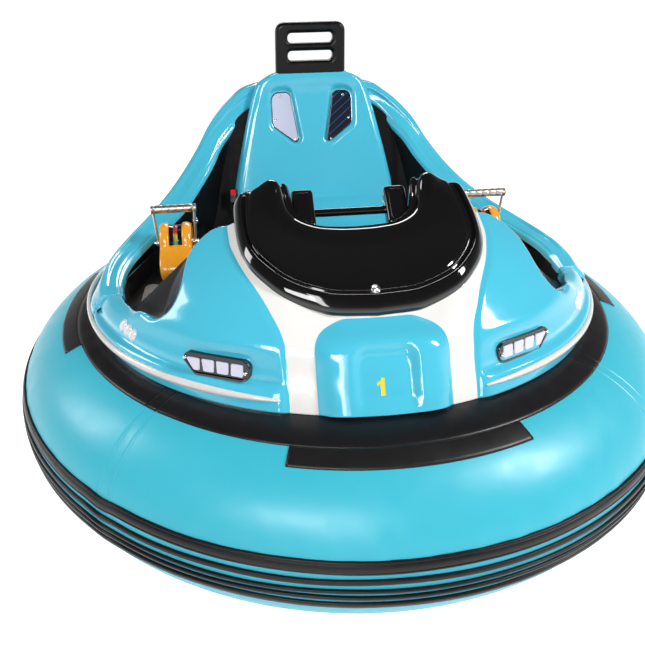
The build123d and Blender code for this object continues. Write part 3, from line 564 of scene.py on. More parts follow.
def moulded_plastic(name, colour, rough=0.45, grain=420.0, strength=0.25, coat=0.0, gleam=0.5):
    """Moulded plastic or rubber: fine grain, slight shade change, dust."""
    m = Nodes(name)
    shade = m.mix(m.noise(8.0, 3.0), tint(colour, 0.88), tint(colour, 1.08))
    dust = m.remap(m.noise(60.0, 6.0, 0.75), 0.6, 0.85, 0.0, 0.12)
    return m.finish(Base_Color=m.mix(dust, shade, tint(colour, 0.8, 0.05)),
                    Roughness=m.uneven(25.0, rough * 0.85, rough * 1.2, 4.0),
                    Normal=m.bump(m.noise(grain, 2.0), strength, 0.0003),
                    Coat_Weight=coat, Coat_Roughness=0.08, Specular_IOR_Level=gleam)


def metal(name, colour, rough=0.3, stretch=(1, 1, 1), stain=0.3):
    """Bare metal: fine drawn lines and darker brown spots."""
    m = Nodes(name)
    place = m.add("Mapping", Vector=m.coords(), Scale=stretch)
    lines = m.noise(260.0, 4.0, 0.6, place.outputs["Vector"])
    spots = m.remap(m.noise(45.0, 6.0, 0.7), 0.45, 0.75, 0.0, stain)
    rust = tuple(c * f for c, f in zip(colour, (0.55, 0.44, 0.34)))
    return m.finish(Base_Color=m.mix(spots, colour, rust),
                    Roughness=m.remap(lines, 0.3, 0.7, rough * 0.7, rough * 1.4),
                    Normal=m.bump(lines, 0.12, 0.0004), Metallic=1.0)


def chequer_plate(name):
    """Aluminium tread plate with crossing bars, darker and uneven in the low parts."""
    m = Nodes(name)
    axes = m.axes()
    a, b = m.crossed(axes["X"], axes["Y"], 380.0)
    bars = m.remap(m.math("MAXIMUM", a, b), 0.55, 0.8, 0.0, 1.0)
    worn = m.noise(70.0, 6.0, 0.7)
    low = m.mix(worn, (0.19, 0.17, 0.155), (0.36, 0.33, 0.31))
    return m.finish(Base_Color=m.mix(bars, low, (0.46, 0.43, 0.41)),
                    Roughness=m.remap(worn, 0.2, 0.8, 0.38, 0.62),
                    Normal=m.bump(bars, 0.5, 0.0012), Metallic=0.55)


def lamp_lens(name, colour, glow=0.12):
    """Tinted lens with fine level flutes and a faint glow."""
    m = Nodes(name)
    flutes = m.wave(m.axes()["Z"], 700.0)
    shade = m.mix(m.noise(30.0, 3.0), tint(colour, 0.9), colour)
    return m.finish(Base_Color=shade, Emission_Color=shade, Emission_Strength=glow,
                    Normal=m.bump(flutes, 0.10, 0.0006), Roughness=m.uneven(50.0, 0.12, 0.25),
                    Coat_Weight=0.8, Coat_Roughness=0.04)


def silver_film(name):
    """Metallic film with a faint woven lattice."""
    m = Nodes(name)
    axes = m.axes()
    a, b = m.crossed(axes["X"], axes["Z"], 520.0)
    lattice = m.remap(m.math("MULTIPLY", a, b), -1.0, 1.0, 0.0, 1.0)
    return m.finish(Base_Color=m.mix(lattice, (0.42, 0.45, 0.60), (0.52, 0.55, 0.69)),
                    Roughness=m.uneven(30.0, 0.28, 0.42), Metallic=0.35, Coat_Weight=0.6,
                    Coat_Roughness=0.05)


def woven_film(name):
    """Black glossy film with slanted broken blue lines."""
    m = Nodes(name)
    axes = m.axes()
    x, z = axes["X"], axes["Z"]
    slant, run = [m.math("ADD", m.math("MULTIPLY", x, a), m.math("MULTIPLY", z, b))
                  for a, b in ((-0.62, 0.78), (0.78, 0.62))]
    line = m.remap(m.wave(slant, 300.0), 0.78, 0.95, 0.0, 1.0)
    dash = m.remap(m.wave(run, 760.0), 0.0, 0.4, 0.15, 1.0)
    lit = m.math("MULTIPLY", line, dash)
    return m.finish(Base_Color=m.mix(lit, (0.006, 0.009, 0.018), (0.02, 0.10, 0.36)),
                    Roughness=m.uneven(40.0, 0.10, 0.2), Coat_Weight=1.0, Coat_Roughness=0.04)


def signal_strip(name):
    """Gauge strip that runs red, yellow and green down its length."""
    m = Nodes(name)
    ramp = m.add("ValToRGB", Fac=m.attribute("along"))
    fill_ramp(ramp, ((0.0, (0.42, 0.012, 0.012)), (0.60, (0.50, 0.02, 0.012)),
                     (0.70, (0.62, 0.42, 0.03)), (0.81, (0.16, 0.36, 0.05)),
                     (1.0, (0.05, 0.30, 0.05))))
    worn = m.remap(m.noise(120.0, 5.0), 0.35, 0.7, 0.0, 0.35)
    return m.finish(Base_Color=m.mix(worn, ramp.outputs["Color"], (0.03, 0.02, 0.015)),
                    Roughness=m.uneven(50.0, 0.25, 0.4))


TURQUOISE = (0.080, 0.565, 0.760)
WHITE = (0.93, 0.91, 0.88)
mat = {
    "body": gel_coat("body_gel_coat", TURQUOISE, WHITE, "white"),
    "turquoise": gel_coat("turquoise_gel_coat", TURQUOISE),
    # near-black gel coat: the black is real, and the faint brown tint in its base colour is a
    # painted reflection
    "black_gloss": gel_coat("black_gel_coat", (0.0045, 0.004, 0.0038), rough=0.06, wave=0.25),
    "ring": coated_fabric("ring_coated_fabric", (0.050, 0.510, 0.650), 0.36),
    "band": coated_fabric("band_coated_fabric", (0.009, 0.008, 0.009), 0.34, 0.2, 0.35),
    "patch": coated_fabric("patch_coated_fabric", (0.011, 0.010, 0.010), 0.36, 0.2, 0.35),
    "rib": moulded_plastic("rib_rubber", (0.007, 0.006, 0.007), 0.36, 500.0, 0.2, gleam=0.3),
    "black": moulded_plastic("black_moulded", (0.004, 0.004, 0.0045), 0.30, gleam=0.24),
    "shelf": moulded_plastic("black_shelf", (0.006, 0.006, 0.007), 0.38, 260.0, 0.35, gleam=0.25),
    "scoop": moulded_plastic("scoop_moulded", (0.003, 0.003, 0.0035), 0.30, 500.0, 0.08,
                             gleam=0.12),
    "dark": moulded_plastic("panel_black", (0.003, 0.003, 0.0035), 0.5, 260.0, 0.3, gleam=0.12),
    "orange": moulded_plastic("orange_moulded", (0.95, 0.39, 0.024), 0.25, 300.0, 0.08, 0.5),
    "lens": lamp_lens("lamp_lens", (0.70, 0.68, 0.82)),
    "strip": lamp_lens("white_strip", (0.80, 0.77, 0.74), 0.05),
    "marker": lamp_lens("marker_lens", (0.78, 0.80, 0.83), 0.08),
    "red": lamp_lens("red_lens", (0.36, 0.006, 0.012), 0.05),
    "steel": metal("bright_steel", (0.62, 0.58, 0.53), 0.36, (1, 6, 6), 0.45),
    "zinc": metal("zinc_steel", (0.62, 0.61, 0.58), 0.34),
    "screw": metal("screw_steel", (0.80, 0.79, 0.78), 0.22, (1, 1, 1), 0.1),
    "alloy": metal("cast_alloy", (0.36, 0.36, 0.38), 0.46),
    "frame": moulded_plastic("frame_powder_coat", (0.022, 0.022, 0.024), 0.5, 300.0, 0.3),
    "battery": moulded_plastic("battery_case", (0.055, 0.055, 0.06), 0.5),
    "tyre": moulded_plastic("tyre_rubber", (0.022, 0.022, 0.023), 0.72, 350.0, 0.4),
    "tread": chequer_plate("tread_plate"),
    "silver": silver_film("silver_film"),
    "woven": woven_film("woven_film"),
    "numeral": gel_coat("numeral_yellow", (0.86, 0.74, 0.06)),
    "signal": signal_strip("signal_strip"),
    "button": moulded_plastic("red_button", (0.70, 0.012, 0.014), 0.55, 300.0, 0.1, gleam=0.2),
}


# ---- camera, light and floor --------------------------------------------------------
SENSOR = 36.0                     # mm
FIELD = 600.0 / 645.0             # focal length over the width of the frame
EYE = Vector((-0.2936, -1.6714, 1.2544))
FORWARD = Vector((0.0804, 0.8743, -0.4788))
RIGHT = Vector((0.9945, -0.1025, -0.0202))


def make_camera():
    data = bpy.data.cameras.new("camera")
    data.sensor_width = SENSOR
    data.lens = SENSOR * FIELD
    data.shift_x, data.shift_y = 0.0480, -0.0028
    data.clip_end = 60.0
    camera = bpy.data.objects.new("camera", data)
    scene.collection.objects.link(camera)
    forward = FORWARD.normalized()
    right = (RIGHT - forward * RIGHT.dot(forward)).normalized()
    turn = Matrix((right, right.cross(forward), -forward)).transposed().to_4x4()
    camera.matrix_world = Matrix.Translation(EYE) @ turn
    scene.camera = camera


def soft_box(name, place, target, size, power):
    """Rectangular area lamp that looks at target."""
    data = bpy.data.lights.new(name, "AREA")
    data.shape = "RECTANGLE"
    data.size, data.size_y = size
    data.energy = power
    lamp = bpy.data.objects.new(name, data)
    scene.collection.objects.link(lamp)
    lamp.location = place
    lamp.rotation_euler = (Vector(target) - Vector(place)).to_track_quat("-Z", "Y").to_euler()


def make_world():
    """Sky that is white at the horizon and dark overhead."""
    world = bpy.data.worlds.new("studio")
    scene.world = world
    world.use_nodes = True
    tree = world.node_tree
    back = tree.nodes["Background"]
    coords = tree.nodes.new("ShaderNodeTexCoord")
    split = tree.nodes.new("ShaderNodeSeparateXYZ")
    ramp = tree.nodes.new("ShaderNodeValToRGB")
    tree.links.new(coords.outputs["Generated"], split.inputs[0])
    tree.links.new(split.outputs["Z"], ramp.inputs[0])
    greys = [(at, (grey, grey, grey * 1.01))
             for at, grey in ((0.05, 0.95), (0.16, 0.45), (0.30, 0.16), (0.50, 0.08))]
    fill_ramp(ramp, [(0.0, (1.0, 1.0, 1.0))] + greys + [(1.0, (0.06, 0.06, 0.063))])
    tree.links.new(ramp.outputs[0], back.inputs["Color"])
    back.inputs["Strength"].default_value = 1.0


def make_floor():
    """Pale floor that shows near white to the camera and in reflections."""
    m = Nodes("floor_paint")
    rays = m.add("LightPath").outputs
    seen = m.math("MAXIMUM", rays["Is Camera Ray"],
                  m.math("MAXIMUM", rays["Is Glossy Ray"], rays["Is Transmission Ray"]))
    axes = m.axes()
    x, y = axes["X"], axes["Y"]
    away = m.math("SQRT", m.math("ADD", m.math("MULTIPLY", x, x), m.math("MULTIPLY", y, y)))
    glow = m.remap(away, 1.6, 7.0, 0.66, 0.95)
    paint = m.finish(Base_Color=m.mix(m.noise(1.5), (0.86, 0.86, 0.86), (0.88, 0.88, 0.88)),
                     Roughness=0.9, Specular_IOR_Level=0.1, Emission_Color=(1, 1, 1, 1),
                     Emission_Strength=m.math("MULTIPLY", seen, glow))
    n = 40
    edge = 300.0 * np.linspace(-1, 1, n) ** 3
    x, y = np.meshgrid(edge, edge)
    v = np.stack([x, y, np.zeros_like(x)], -1).reshape(-1, 3)
    mesh_object("floor", v, grid_faces(n, n), paint, smooth=False)


scene.view_settings.view_transform = "Standard"
make_camera()
make_world()
make_floor()
soft_box("key", (2.6, -1.4, 2.9), (0, -0.2, 0.5), (0.55, 1.5), 92)
soft_box("front", (-1.3, -3.4, 2.6), (0, 0, 0.6), (1.7, 0.8), 58)
soft_box("side", (-3.2, 0.4, 2.2), (0, 0, 0.6), (0.8, 1.7), 36)
soft_box("rear", (0.4, 3.4, 3.0), (0, 0.2, 0.6), (2.4, 0.9), 60)
soft_box("glint", (-0.35, -3.1, 2.05), (0, 0.4, 0.85), (0.28, 1.5), 14)


# ---- inflated ring ------------------------------------------------------------------
SEAM_ANGLES = [math.radians(a) for a in (-41.6, 45.0, 138.0, -134.0)]
SEAM_GAP = 0.015      # half distance between the two weld lines


def wrapped(angle):
    """The same angle, between minus and plus half a turn."""
    return (angle + math.pi) % (2 * math.pi) - math.pi


def ring_angles(base=420):
    """Angles from the nose, closer together at the weld seams."""
    a = list(np.linspace(-math.pi, math.pi, base, endpoint=False))
    for s in SEAM_ANGLES:
        a += list(s + np.linspace(-0.034, 0.034, 38))
    a = np.array(sorted(wrapped(v) for v in a))
    return a[np.r_[True, np.diff(a) > 4e-4]]


def seam_offset(angle, radius):
    """Small raised weld lines and the pinch between them."""
    out = np.zeros_like(angle)
    for s in SEAM_ANGLES:
        d = wrapped(angle - s) * radius
        for line in (-SEAM_GAP, SEAM_GAP):
            out += -0.0011 * np.exp(-((d - line) / 0.0016) ** 2)
            out += 0.0005 * np.exp(-((d - line - 0.0035) / 0.002) ** 2)
        out += -0.0012 * np.exp(-(d / 0.03) ** 2)
    return out


def tube_point(angle, phi, proud=0.0):
    """Point on the ring: angle from the nose, phi from outwards up over the tube."""
    c, s = np.cos(phi), np.sin(phi)
    nx, nz = c / TUBE_HALF_WIDTH, s / TUBE_HALF_HEIGHT
    size = np.hypot(nx, nz)
    r = RING_RADIUS + TUBE_HALF_WIDTH * c + proud * nx / size
    z = RING_Z + TUBE_HALF_HEIGHT * s + proud * nz / size
    return np.stack([r * np.sin(angle), -r * np.cos(angle), z], -1)


def wrinkles(angle, phi):
    """Soft upright puckers where the skin meets the rubbing strips."""
    wave = np.zeros_like(angle)
    for k, (f, p) in enumerate(((61, 0.3), (83, 1.9), (127, 4.1), (37, 2.2))):
        wave = wave + np.sin(f * angle + p) / (1.5 + 0.5 * k)
    patchy = 0.35 + 0.65 * (0.5 + 0.5 * np.sin(3 * angle + 0.9)) ** 2
    near = np.exp(-((phi - 0.42) / 0.14) ** 2)
    return 0.0011 * wave * near * patchy


def make_ring():
    angle = ring_angles()
    phi = np.linspace(-math.pi, math.pi, 120, endpoint=False)
    p, a = np.meshgrid(phi, angle, indexing="ij")
    proud = seam_offset(a, 0.8) + wrinkles(a, p)
    v = tube_point(a, p, proud).reshape(-1, 3)
    f = grid_faces(len(phi), len(angle), True, True)
    ring = mesh_object("ring_skin", v, f[:, ::-1], mat["ring"])
    piece(outward(ring), "root", "ring_pvc", "bumper_ring")


def crown_phi(radius):
    return np.arccos(np.clip((radius - RING_RADIUS) / TUBE_HALF_WIDTH, -1, 1))


def flat_strip(angle, inner, outer, skin, folds=0.0, wrap=True, rows=26):
    """Skin laid on top of the ring between two radii."""
    t = np.linspace(0, 1, rows)
    phi = crown_phi(inner) + (crown_phi(outer) - crown_phi(inner)) * t
    p, a = np.meshgrid(phi, angle, indexing="ij")
    edge = np.minimum(t, 1 - t)[:, None]
    lift = skin * np.clip(edge / 0.02, 0, 1) ** 0.5 * np.ones_like(a)
    lift = lift + seam_offset(a, 0.7) * 0.8
    ripple = np.sin(47 * a + 5 * np.sin(3 * a)) * np.sin(29 * a + 1.1)
    patchy = 0.4 + 0.6 * np.sin(2 * a + 0.6) ** 2
    lift = lift + folds * ripple * np.clip(edge * 4, 0, 1) * patchy
    low = tube_point(a, p, np.full_like(a, -0.001))[::-1]
    v = np.concatenate([tube_point(a, p, lift), low]).reshape(-1, 3)
    f = grid_faces(2 * rows, len(angle), True, wrap).tolist()
    if not wrap:
        n = len(angle)
        f += [[r * n + c for r in range(2 * rows)] for c in (0, n - 1)]
    return v, f


BAND_INNER = 0.600        # radius


def make_band():
    v, f = flat_strip(ring_angles(), BAND_INNER, BAND_HIGH.x, 0.0021, 0.0006)
    band = mesh_object("ring_band_skin", v, f, mat["band"])
    piece(outward(band), "root", "band_pvc", "ring_band")


def make_patches():
    """Four patches outside the band, the first at the nose."""
    inner = BAND_HIGH.x - 0.004
    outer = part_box("ring_patches")[1].x
    half = math.radians(18.5)
    parts = []
    for k in range(4):
        centre = math.radians(2 + 90 * k)
        angle = np.linspace(centre - half, centre + half, 90)
        parts.append(flat_strip(angle, inner, outer, 0.0024, wrap=False, rows=12))
    patches = merged("ring_patch_skins", parts, mat["patch"])
    piece(outward(patches), "root", "band_pvc", "ring_patches")


# rub strips: height and width
RIBS = ((0.3145, 0.028), (0.2845, 0.012), (0.2620, 0.008), (0.2445, 0.0095), (0.2210, 0.016))
# half sections: place across the width, rise
NARROW_RIB = ((-0.5, -0.001), (-0.49, 0.002), (-0.45, 0.0042), (-0.38, 0.0054),
              (-0.25, 0.006), (-0.1, 0.0062), (0.0, 0.0062))
BROAD_RIB = ((-0.5, -0.001), (-0.49, 0.002), (-0.46, 0.0042), (-0.42, 0.0052),
             (-0.34, 0.0055), (-0.30, 0.0052), (-0.28, 0.0038), (-0.26, 0.0052),
             (-0.22, 0.0058), (0.0, 0.0062))


def rib_profile(width):
    """Half-round strip; the broad one has two fine grooves."""
    half = np.array(BROAD_RIB if width > 0.02 else NARROW_RIB)
    full = np.vstack([half, half[-2::-1] * [-1, 1]])
    return full[:, 0] * width, full[:, 1]


def make_ribs():
    angle = ring_angles(360)
    parts = []
    for k, (z, width) in enumerate(RIBS):
        s, h = rib_profile(width)
        phi0 = math.asin((z - RING_Z) / TUBE_HALF_HEIGHT)
        speed = math.hypot(TUBE_HALF_WIDTH * math.sin(phi0), TUBE_HALF_HEIGHT * math.cos(phi0))
        sway = 0.0007 * np.sin(7 * angle + k) + 0.0005 * np.sin(17 * angle + 2 * k)
        for seam in SEAM_ANGLES:
            d = wrapped(angle - seam)
            sway = sway - 0.0035 * np.exp(-(d / 0.05) ** 2) * np.cos(d / 0.03)
        p = phi0 + (s[:, None] + sway[None]) / speed
        v = tube_point(np.broadcast_to(angle, p.shape), p, h[:, None]).reshape(-1, 3)
        parts.append((v, grid_faces(len(s), len(angle), True, True)))
    ribs = merged("rub_strip_set", parts, mat["rib"])
    piece(outward(ribs), "root", "rub_rubber", "rub_strips")


# ---- body surfaces ------------------------------------------------------------------
OPENING = (           # cockpit edge in plan, one side, from the middle of the nose round
    (0.160, -0.245), (0.322, -0.249), (0.355, -0.247), (0.381, -0.257), (0.403, -0.274),
    (0.420, -0.297), (0.430, -0.335), (0.437, -0.368), (0.447, -0.394), (0.462, -0.409),
    (0.482, -0.412), (0.504, -0.400), (0.526, -0.373), (0.550, -0.327), (0.575, -0.277),
    (0.596, -0.234), (0.612, -0.170), (0.621, -0.095), (0.613, 0.000), (0.588, 0.080),
    (0.500, 0.223), (0.394, 0.365), (0.310, 0.480), (0.200, 0.560))
opening = spline(OPENING + tuple((-x, y) for x, y in reversed(OPENING)), 560, closed=True)
RAILS = (             # hoop: inner edge x, y, z and outer shoulder x, y, z, seam to middle
    (0.619, -0.190, 0.560, 0.655, -0.190, 0.547), (0.631, -0.100, 0.563, 0.680, -0.100, 0.549),
    (0.623, -0.002, 0.568, 0.682, 0.002, 0.553), (0.598, 0.081, 0.577, 0.668, 0.092, 0.560),
    (0.562, 0.160, 0.590, 0.639, 0.186, 0.573), (0.518, 0.234, 0.608, 0.593, 0.291, 0.596),
    (0.468, 0.308, 0.638, 0.535, 0.388, 0.637), (0.421, 0.382, 0.684, 0.473, 0.468, 0.698),
    (0.373, 0.446, 0.741, 0.415, 0.522, 0.773), (0.334, 0.500, 0.796, 0.368, 0.556, 0.848),
    (0.290, 0.542, 0.838, 0.318, 0.584, 0.902), (0.250, 0.572, 0.876, 0.268, 0.602, 0.940),
    (0.212, 0.594, 0.902, 0.220, 0.614, 0.966), (0.150, 0.604, 0.925, 0.150, 0.618, 0.978),
    (0.075, 0.606, 0.930, 0.075, 0.620, 0.982), (0.000, 0.606, 0.930, 0.000, 0.620, 0.982))

hood_size = smooth_curve([
    (BODY_Z, BASE_X, HOOD_Y), (0.500, 0.722, 0.655), (0.541, 0.695, 0.629),
    (0.580, 0.676, 0.610), (0.611, 0.650, 0.586), (0.650, 0.598, 0.550), (0.700, 0.515, 0.496),
    (0.800, 0.330, 0.310), (0.860, 0.190, 0.180)])
HOOD_TOP = 0.86
FENDER_Z = 0.560
BLEND = 0.03          # over which the hood rounds into the fender
FOOT_X = 0.727        # half width of the rear shell's foot
FOOT_Y = 0.607
SEAM_CUT = 0.004      # the hood stops this far ahead of the seam
EDGE_INSET = 0.010    # the opening's rolled edge stands this far outside its outline


def hood_height(x, y):
    """Height at which the hood's level ovals pass through (x, y)."""
    levels = np.linspace(BODY_Z, HOOD_TOP, 160)
    out = np.full(np.shape(x), HOOD_TOP)
    previous = None
    for z, (a, b) in zip(levels, hood_size(levels)):
        f = (x / a) ** 2 + (y / b) ** 2 - 1
        if previous is None:
            out = np.where(f > 0, BODY_Z, out)
        else:
            hit = (f > 0) & (previous <= 0)
            t = previous / np.where(hit, previous - f, 1)
            out = np.where(hit, z - (levels[1] - levels[0]) * (1 - t), out)
        previous = np.where(f > 0, 1.0, f)
    return out


def soft_ramp(value, width):
    """Zero below nought, rising one to one above it, with a rounded knee."""
    return 0.5 * (value + np.sqrt(value ** 2 + width ** 2)) - width * 0.08


def fender_level(x, y):
    """Top of the flat fender, let go towards the nose and the middle."""
    return FENDER_Z + 1.3 * soft_ramp(-0.345 - y, 0.03) + 3.0 * soft_ramp(0.49 - np.abs(x), 0.03)


def body_height(x, y):
    """Hood ovals, held down to the level fender beside the cockpit."""
    return soft_min(hood_height(x, y), fender_level(x, y), BLEND)


SEAT_WIDTH = smooth_curve([
    (0.230, 0.292), (0.620, 0.292), (0.700, 0.277), (0.760, 0.262), (0.830, 0.243),
    (0.900, 0.223), (0.950, 0.206), (0.985, 0.186), (1.005, 0.160), (1.018, 0.128)])


SEAT_LEAN = math.radians(15.7)


def seat_face(z):
    """How far back the front face of the seat's back is at a height."""
    return 0.506 + (z - 0.784) * math.tan(SEAT_LEAN)


STRIPE_EDGE = smooth_curve([
    (-0.700, 0.206), (-0.597, 0.206), (-0.577, 0.2065), (-0.564, 0.210), (-0.548, 0.216),
    (-0.524, 0.228), (-0.490, 0.245), (-0.456, 0.263), (-0.419, 0.282), (-0.371, 0.300),
    (-0.320, 0.313), (-0.225, 0.318), (-0.150, 0.318)])
# arches on the front pad: half width, top, corner radius
PAD = (0.147, 0.662, 0.085)
RECESS = (0.074, 0.606, 0.040)
RECESS_FLOOR = (0.056, 0.580, 0.024)


def arch_distance(x, z, half, top, r):
    """Signed distance inside an arch, seen from ahead."""
    qx, qz = np.abs(x) - (half - r), z - (top - r)
    return r - np.hypot(np.maximum(qx, 0), np.maximum(qz, 0)) - np.minimum(np.maximum(qx, qz), 0)


def cowl_outline(inset):
    """Plan outline of the cowl's rim, moved inwards."""
    rim = spline(COWL_RIM, 60)[:, :2]
    ring = np.vstack([rim, [[0.0, -0.17]], (rim * [-1, 1])[::-1]])
    centre = np.array([0.0, -0.30])
    away = ring - centre
    return ring - away / np.linalg.norm(away, axis=1)[:, None] * inset


def hood_surface():
    """Points of the whole hood before it is cut, with the stripe field."""
    levels = np.r_[np.linspace(BODY_Z, 0.64, 62), np.linspace(0.643, HOOD_TOP, 58)]
    ab = np.mean([hood_size(np.clip(levels + d, BODY_Z, HOOD_TOP))
                  for d in np.linspace(-0.020, 0.020, 9)], axis=0)
    free = step(levels, BODY_Z, BODY_Z + 0.03)[:, None]
    ab = hood_size(levels) * (1 - free) + ab * free
    angle = np.linspace(-math.radians(112), math.radians(112), 560)
    z, a = np.meshgrid(levels, angle, indexing="ij")
    x = ab[:, :1] * np.sin(a)
    y = -ab[:, 1:] * np.cos(a)
    v = np.stack([x, y, soft_min(z, fender_level(x, y), BLEND)], -1)
    n = unit(np.cross(np.gradient(v, axis=1), np.gradient(v, axis=0)))
    stripe = STRIPE_EDGE(y) - np.abs(x)
    pad = arch_distance(x, z, *PAD)
    v = v + n * hood_relief(x, y, z, stripe, pad)[..., None]
    # valley behind the pad, under the cowl
    middle_part = 1 - step(np.abs(x), 0.09, 0.215)
    v[..., 2] -= 0.034 * step(z, 0.575, 0.660) * middle_part * step(y, -0.25, -0.45)
    return v, np.minimum(stripe, -pad)


def hood_relief(x, y, z, stripe, pad):
    """How far the hood's skin stands proud of its level ovals."""
    # fender stands proud of the white stripe along its edge
    proud = 0.0050 * step(-stripe, 0.000, 0.014) * step(y, -0.15, -0.25)
    # foot flange and the soft groove above the light strip
    proud += 0.0065 * (1 - step(z, 0.503, 0.516)) * step(-stripe, 0.0, 0.03)
    proud -= 0.0050 * np.exp(-((z - 0.521) / 0.008) ** 2) * step(-stripe, 0.0, 0.04)
    # pad: rounded block with an arched recess
    bulge = 0.020 * (1 - (1 - np.clip(pad / 0.052, 0, 1)) ** 2)
    proud += bulge * step(z, 0.30, 0.40) * (0.75 + 0.25 * step(z, 0.65, 0.52))
    hollow = arch_distance(x, z, *RECESS)
    inner = arch_distance(x, z, *RECESS_FLOOR)
    fade = step(z, 0.470, 0.500)
    proud -= 0.0125 * step(hollow, -0.002, 0.024) * (0.30 + 0.70 * fade)
    proud -= 0.0028 * step(inner, 0.0, 0.004) * fade * step(z, 0.545, 0.575)
    # dish round the inner end of each headlight, brow over it
    for s in (1, -1):
        gap = np.sqrt(((x - s * 0.300) / 0.075) ** 2 + ((z - 0.532) / 0.042) ** 2)
        proud -= 0.007 * np.exp(-gap ** 4)
        brow = np.sqrt(((x - s * 0.37) / 0.13) ** 2 + ((z - 0.585) / 0.02) ** 2)
        proud += 0.006 * np.exp(-brow ** 2)
    return proud


HOOD_LIP = quarter(0.010) + [(0.0105, 0.018), (0.0105, 0.034)]
THIN_LIP = [(0.0006, 0.0004), (0.0012, 0.0012), (0.0016, 0.0025), (0.0016, 0.005),
            (0.0016, 0.010), (0.0016, 0.014), (0.0016, 0.016), (0.0016, 0.018)]
FOOT_LIP = [(0.0, 0.0005), (-0.0005, 0.001), (-0.001, 0.002), (-0.001, 0.003),
            (-0.001, 0.004), (-0.001, 0.005), (-0.001, 0.006), (-0.001, 0.008)]


def hood_lip(p):
    """Rolled edge at the opening, thin edge elsewhere, short one at the foot."""
    near = np.abs(outline_distance(p[:, 0], p[:, 1], opening) - EDGE_INSET) < 0.004
    foot = p[:, 2] < BODY_Z + 0.006
    out = np.where(near[:, None, None], np.array(HOOD_LIP)[None], np.array(THIN_LIP)[None])
    return np.where(foot[:, None, None], np.array(FOOT_LIP)[None] * [1, 0.4], out)


def make_hood():
    v, white = hood_surface()
    x, y = v[..., 0].ravel(), v[..., 1].ravel()
    cut = outline_distance(x, y, opening) - EDGE_INSET
    under = outline_distance(x, y, cowl_outline(0.026))
    field = np.minimum(np.minimum(cut, under), SEAM_Y - SEAM_CUT - y)
    data = np.column_stack([v.reshape(-1, 3), white.ravel()])
    data, faces = clip(data, grid_faces(*white.shape)[:, ::-1], field)
    pts = data[:, :3]
    pts, faces = roll_edges(pts, upward(pts, faces), hood_lip)
    value = np.concatenate([data[:, 3], np.full(len(pts) - len(data), -0.01)])
    hood = mesh_object("hood_shell", pts, faces, mat["body"], values={"white": value})
    piece(hood, "root", "turquoise_grp", "front_hood")


def hoop_rails(count):
    """Inner edge and shoulder points from the left seam round to the right one."""
    half = spline(RAILS, count)
    mirror = np.array([-1, 1, 1, -1, 1, 1])
    both = np.vstack([half, (half * mirror)[-2::-1]])
    return both[:, :3], both[:, 3:]


HOOP_SECTION = smooth_curve([    # rise of the hoop's skin across its width, inside to outside
    (0.00, 0.000), (0.05, 0.0045), (0.14, 0.0080), (0.32, 0.0100), (0.50, 0.0135),
    (0.575, 0.0200), (0.63, 0.0215), (0.70, 0.0190), (0.80, 0.0185), (0.91, 0.0130),
    (1.00, 0.000)])


def rear_foot(rim, shoulder, seam):
    """Lower edge of the flank on the ring, led to the hood's foot at the seam."""
    count = len(rim)
    polar = np.arctan2(shoulder[:, 0], -shoulder[:, 1])
    b = FOOT_Y + (REAR_Y - FOOT_Y) * step(shoulder[:, 1], -0.18, 0.30)
    reach = 1 / np.hypot(np.sin(polar) / FOOT_X, np.cos(polar) / b)
    foot = np.stack([reach * np.sin(polar), -reach * np.cos(polar),
                     np.full(count, BODY_Z)], 1)
    edge_x = FOOT_X * math.sqrt(1 - (SEAM_Y / FOOT_Y) ** 2)
    true_foot = np.stack([np.sign(rim[:, 0]) * edge_x, np.full(count, SEAM_Y),
                          np.full(count, BODY_Z)], 1)
    slide = true_foot[:1] - foot[:1], true_foot[-1:] - foot[-1:]
    half = (np.arange(count) < count / 2)[:, None]
    return foot + np.where(half, slide[0], slide[1]) * seam


def join_hood(v, first, rim, foot, seam):
    """Turns the sections next to the seam into the hood's own, from row first on."""
    for k in np.nonzero(seam[:, 0] > 1e-4)[0]:
        x = np.abs(rim[k, 0]) + (np.abs(foot[k, 0]) - np.abs(rim[k, 0])) * (
            1 - np.linspace(1, 0, 400) ** 3)
        y = rim[k, 1] + (foot[k, 1] - rim[k, 1]) * (x - x[0]) / (x[-1] - x[0])
        narrow = BASE_X * math.sqrt(1 - (foot[k, 1] / HOOD_Y) ** 2) - x[0]
        z = body_height(x[0] + (x - x[0]) * narrow / (x[-1] - x[0]), y)
        z[-1] = BODY_Z
        run = np.r_[0, np.cumsum(np.hypot(np.diff(x), np.diff(z)))]
        mine = v[first:, k]
        length = np.r_[0, np.cumsum(np.linalg.norm(np.diff(mine, axis=0), axis=1))]
        want = length / length[-1] * run[-1]
        level = np.stack([np.sign(rim[k, 0]) * np.interp(want, run, x),
                          np.interp(want, run, y), np.interp(want, run, z)], 1)
        shift = level[0] - v[first, k]
        v[first:, k] = mine + (level - mine) * seam[k]
        v[:first, k] += shift * seam[k]


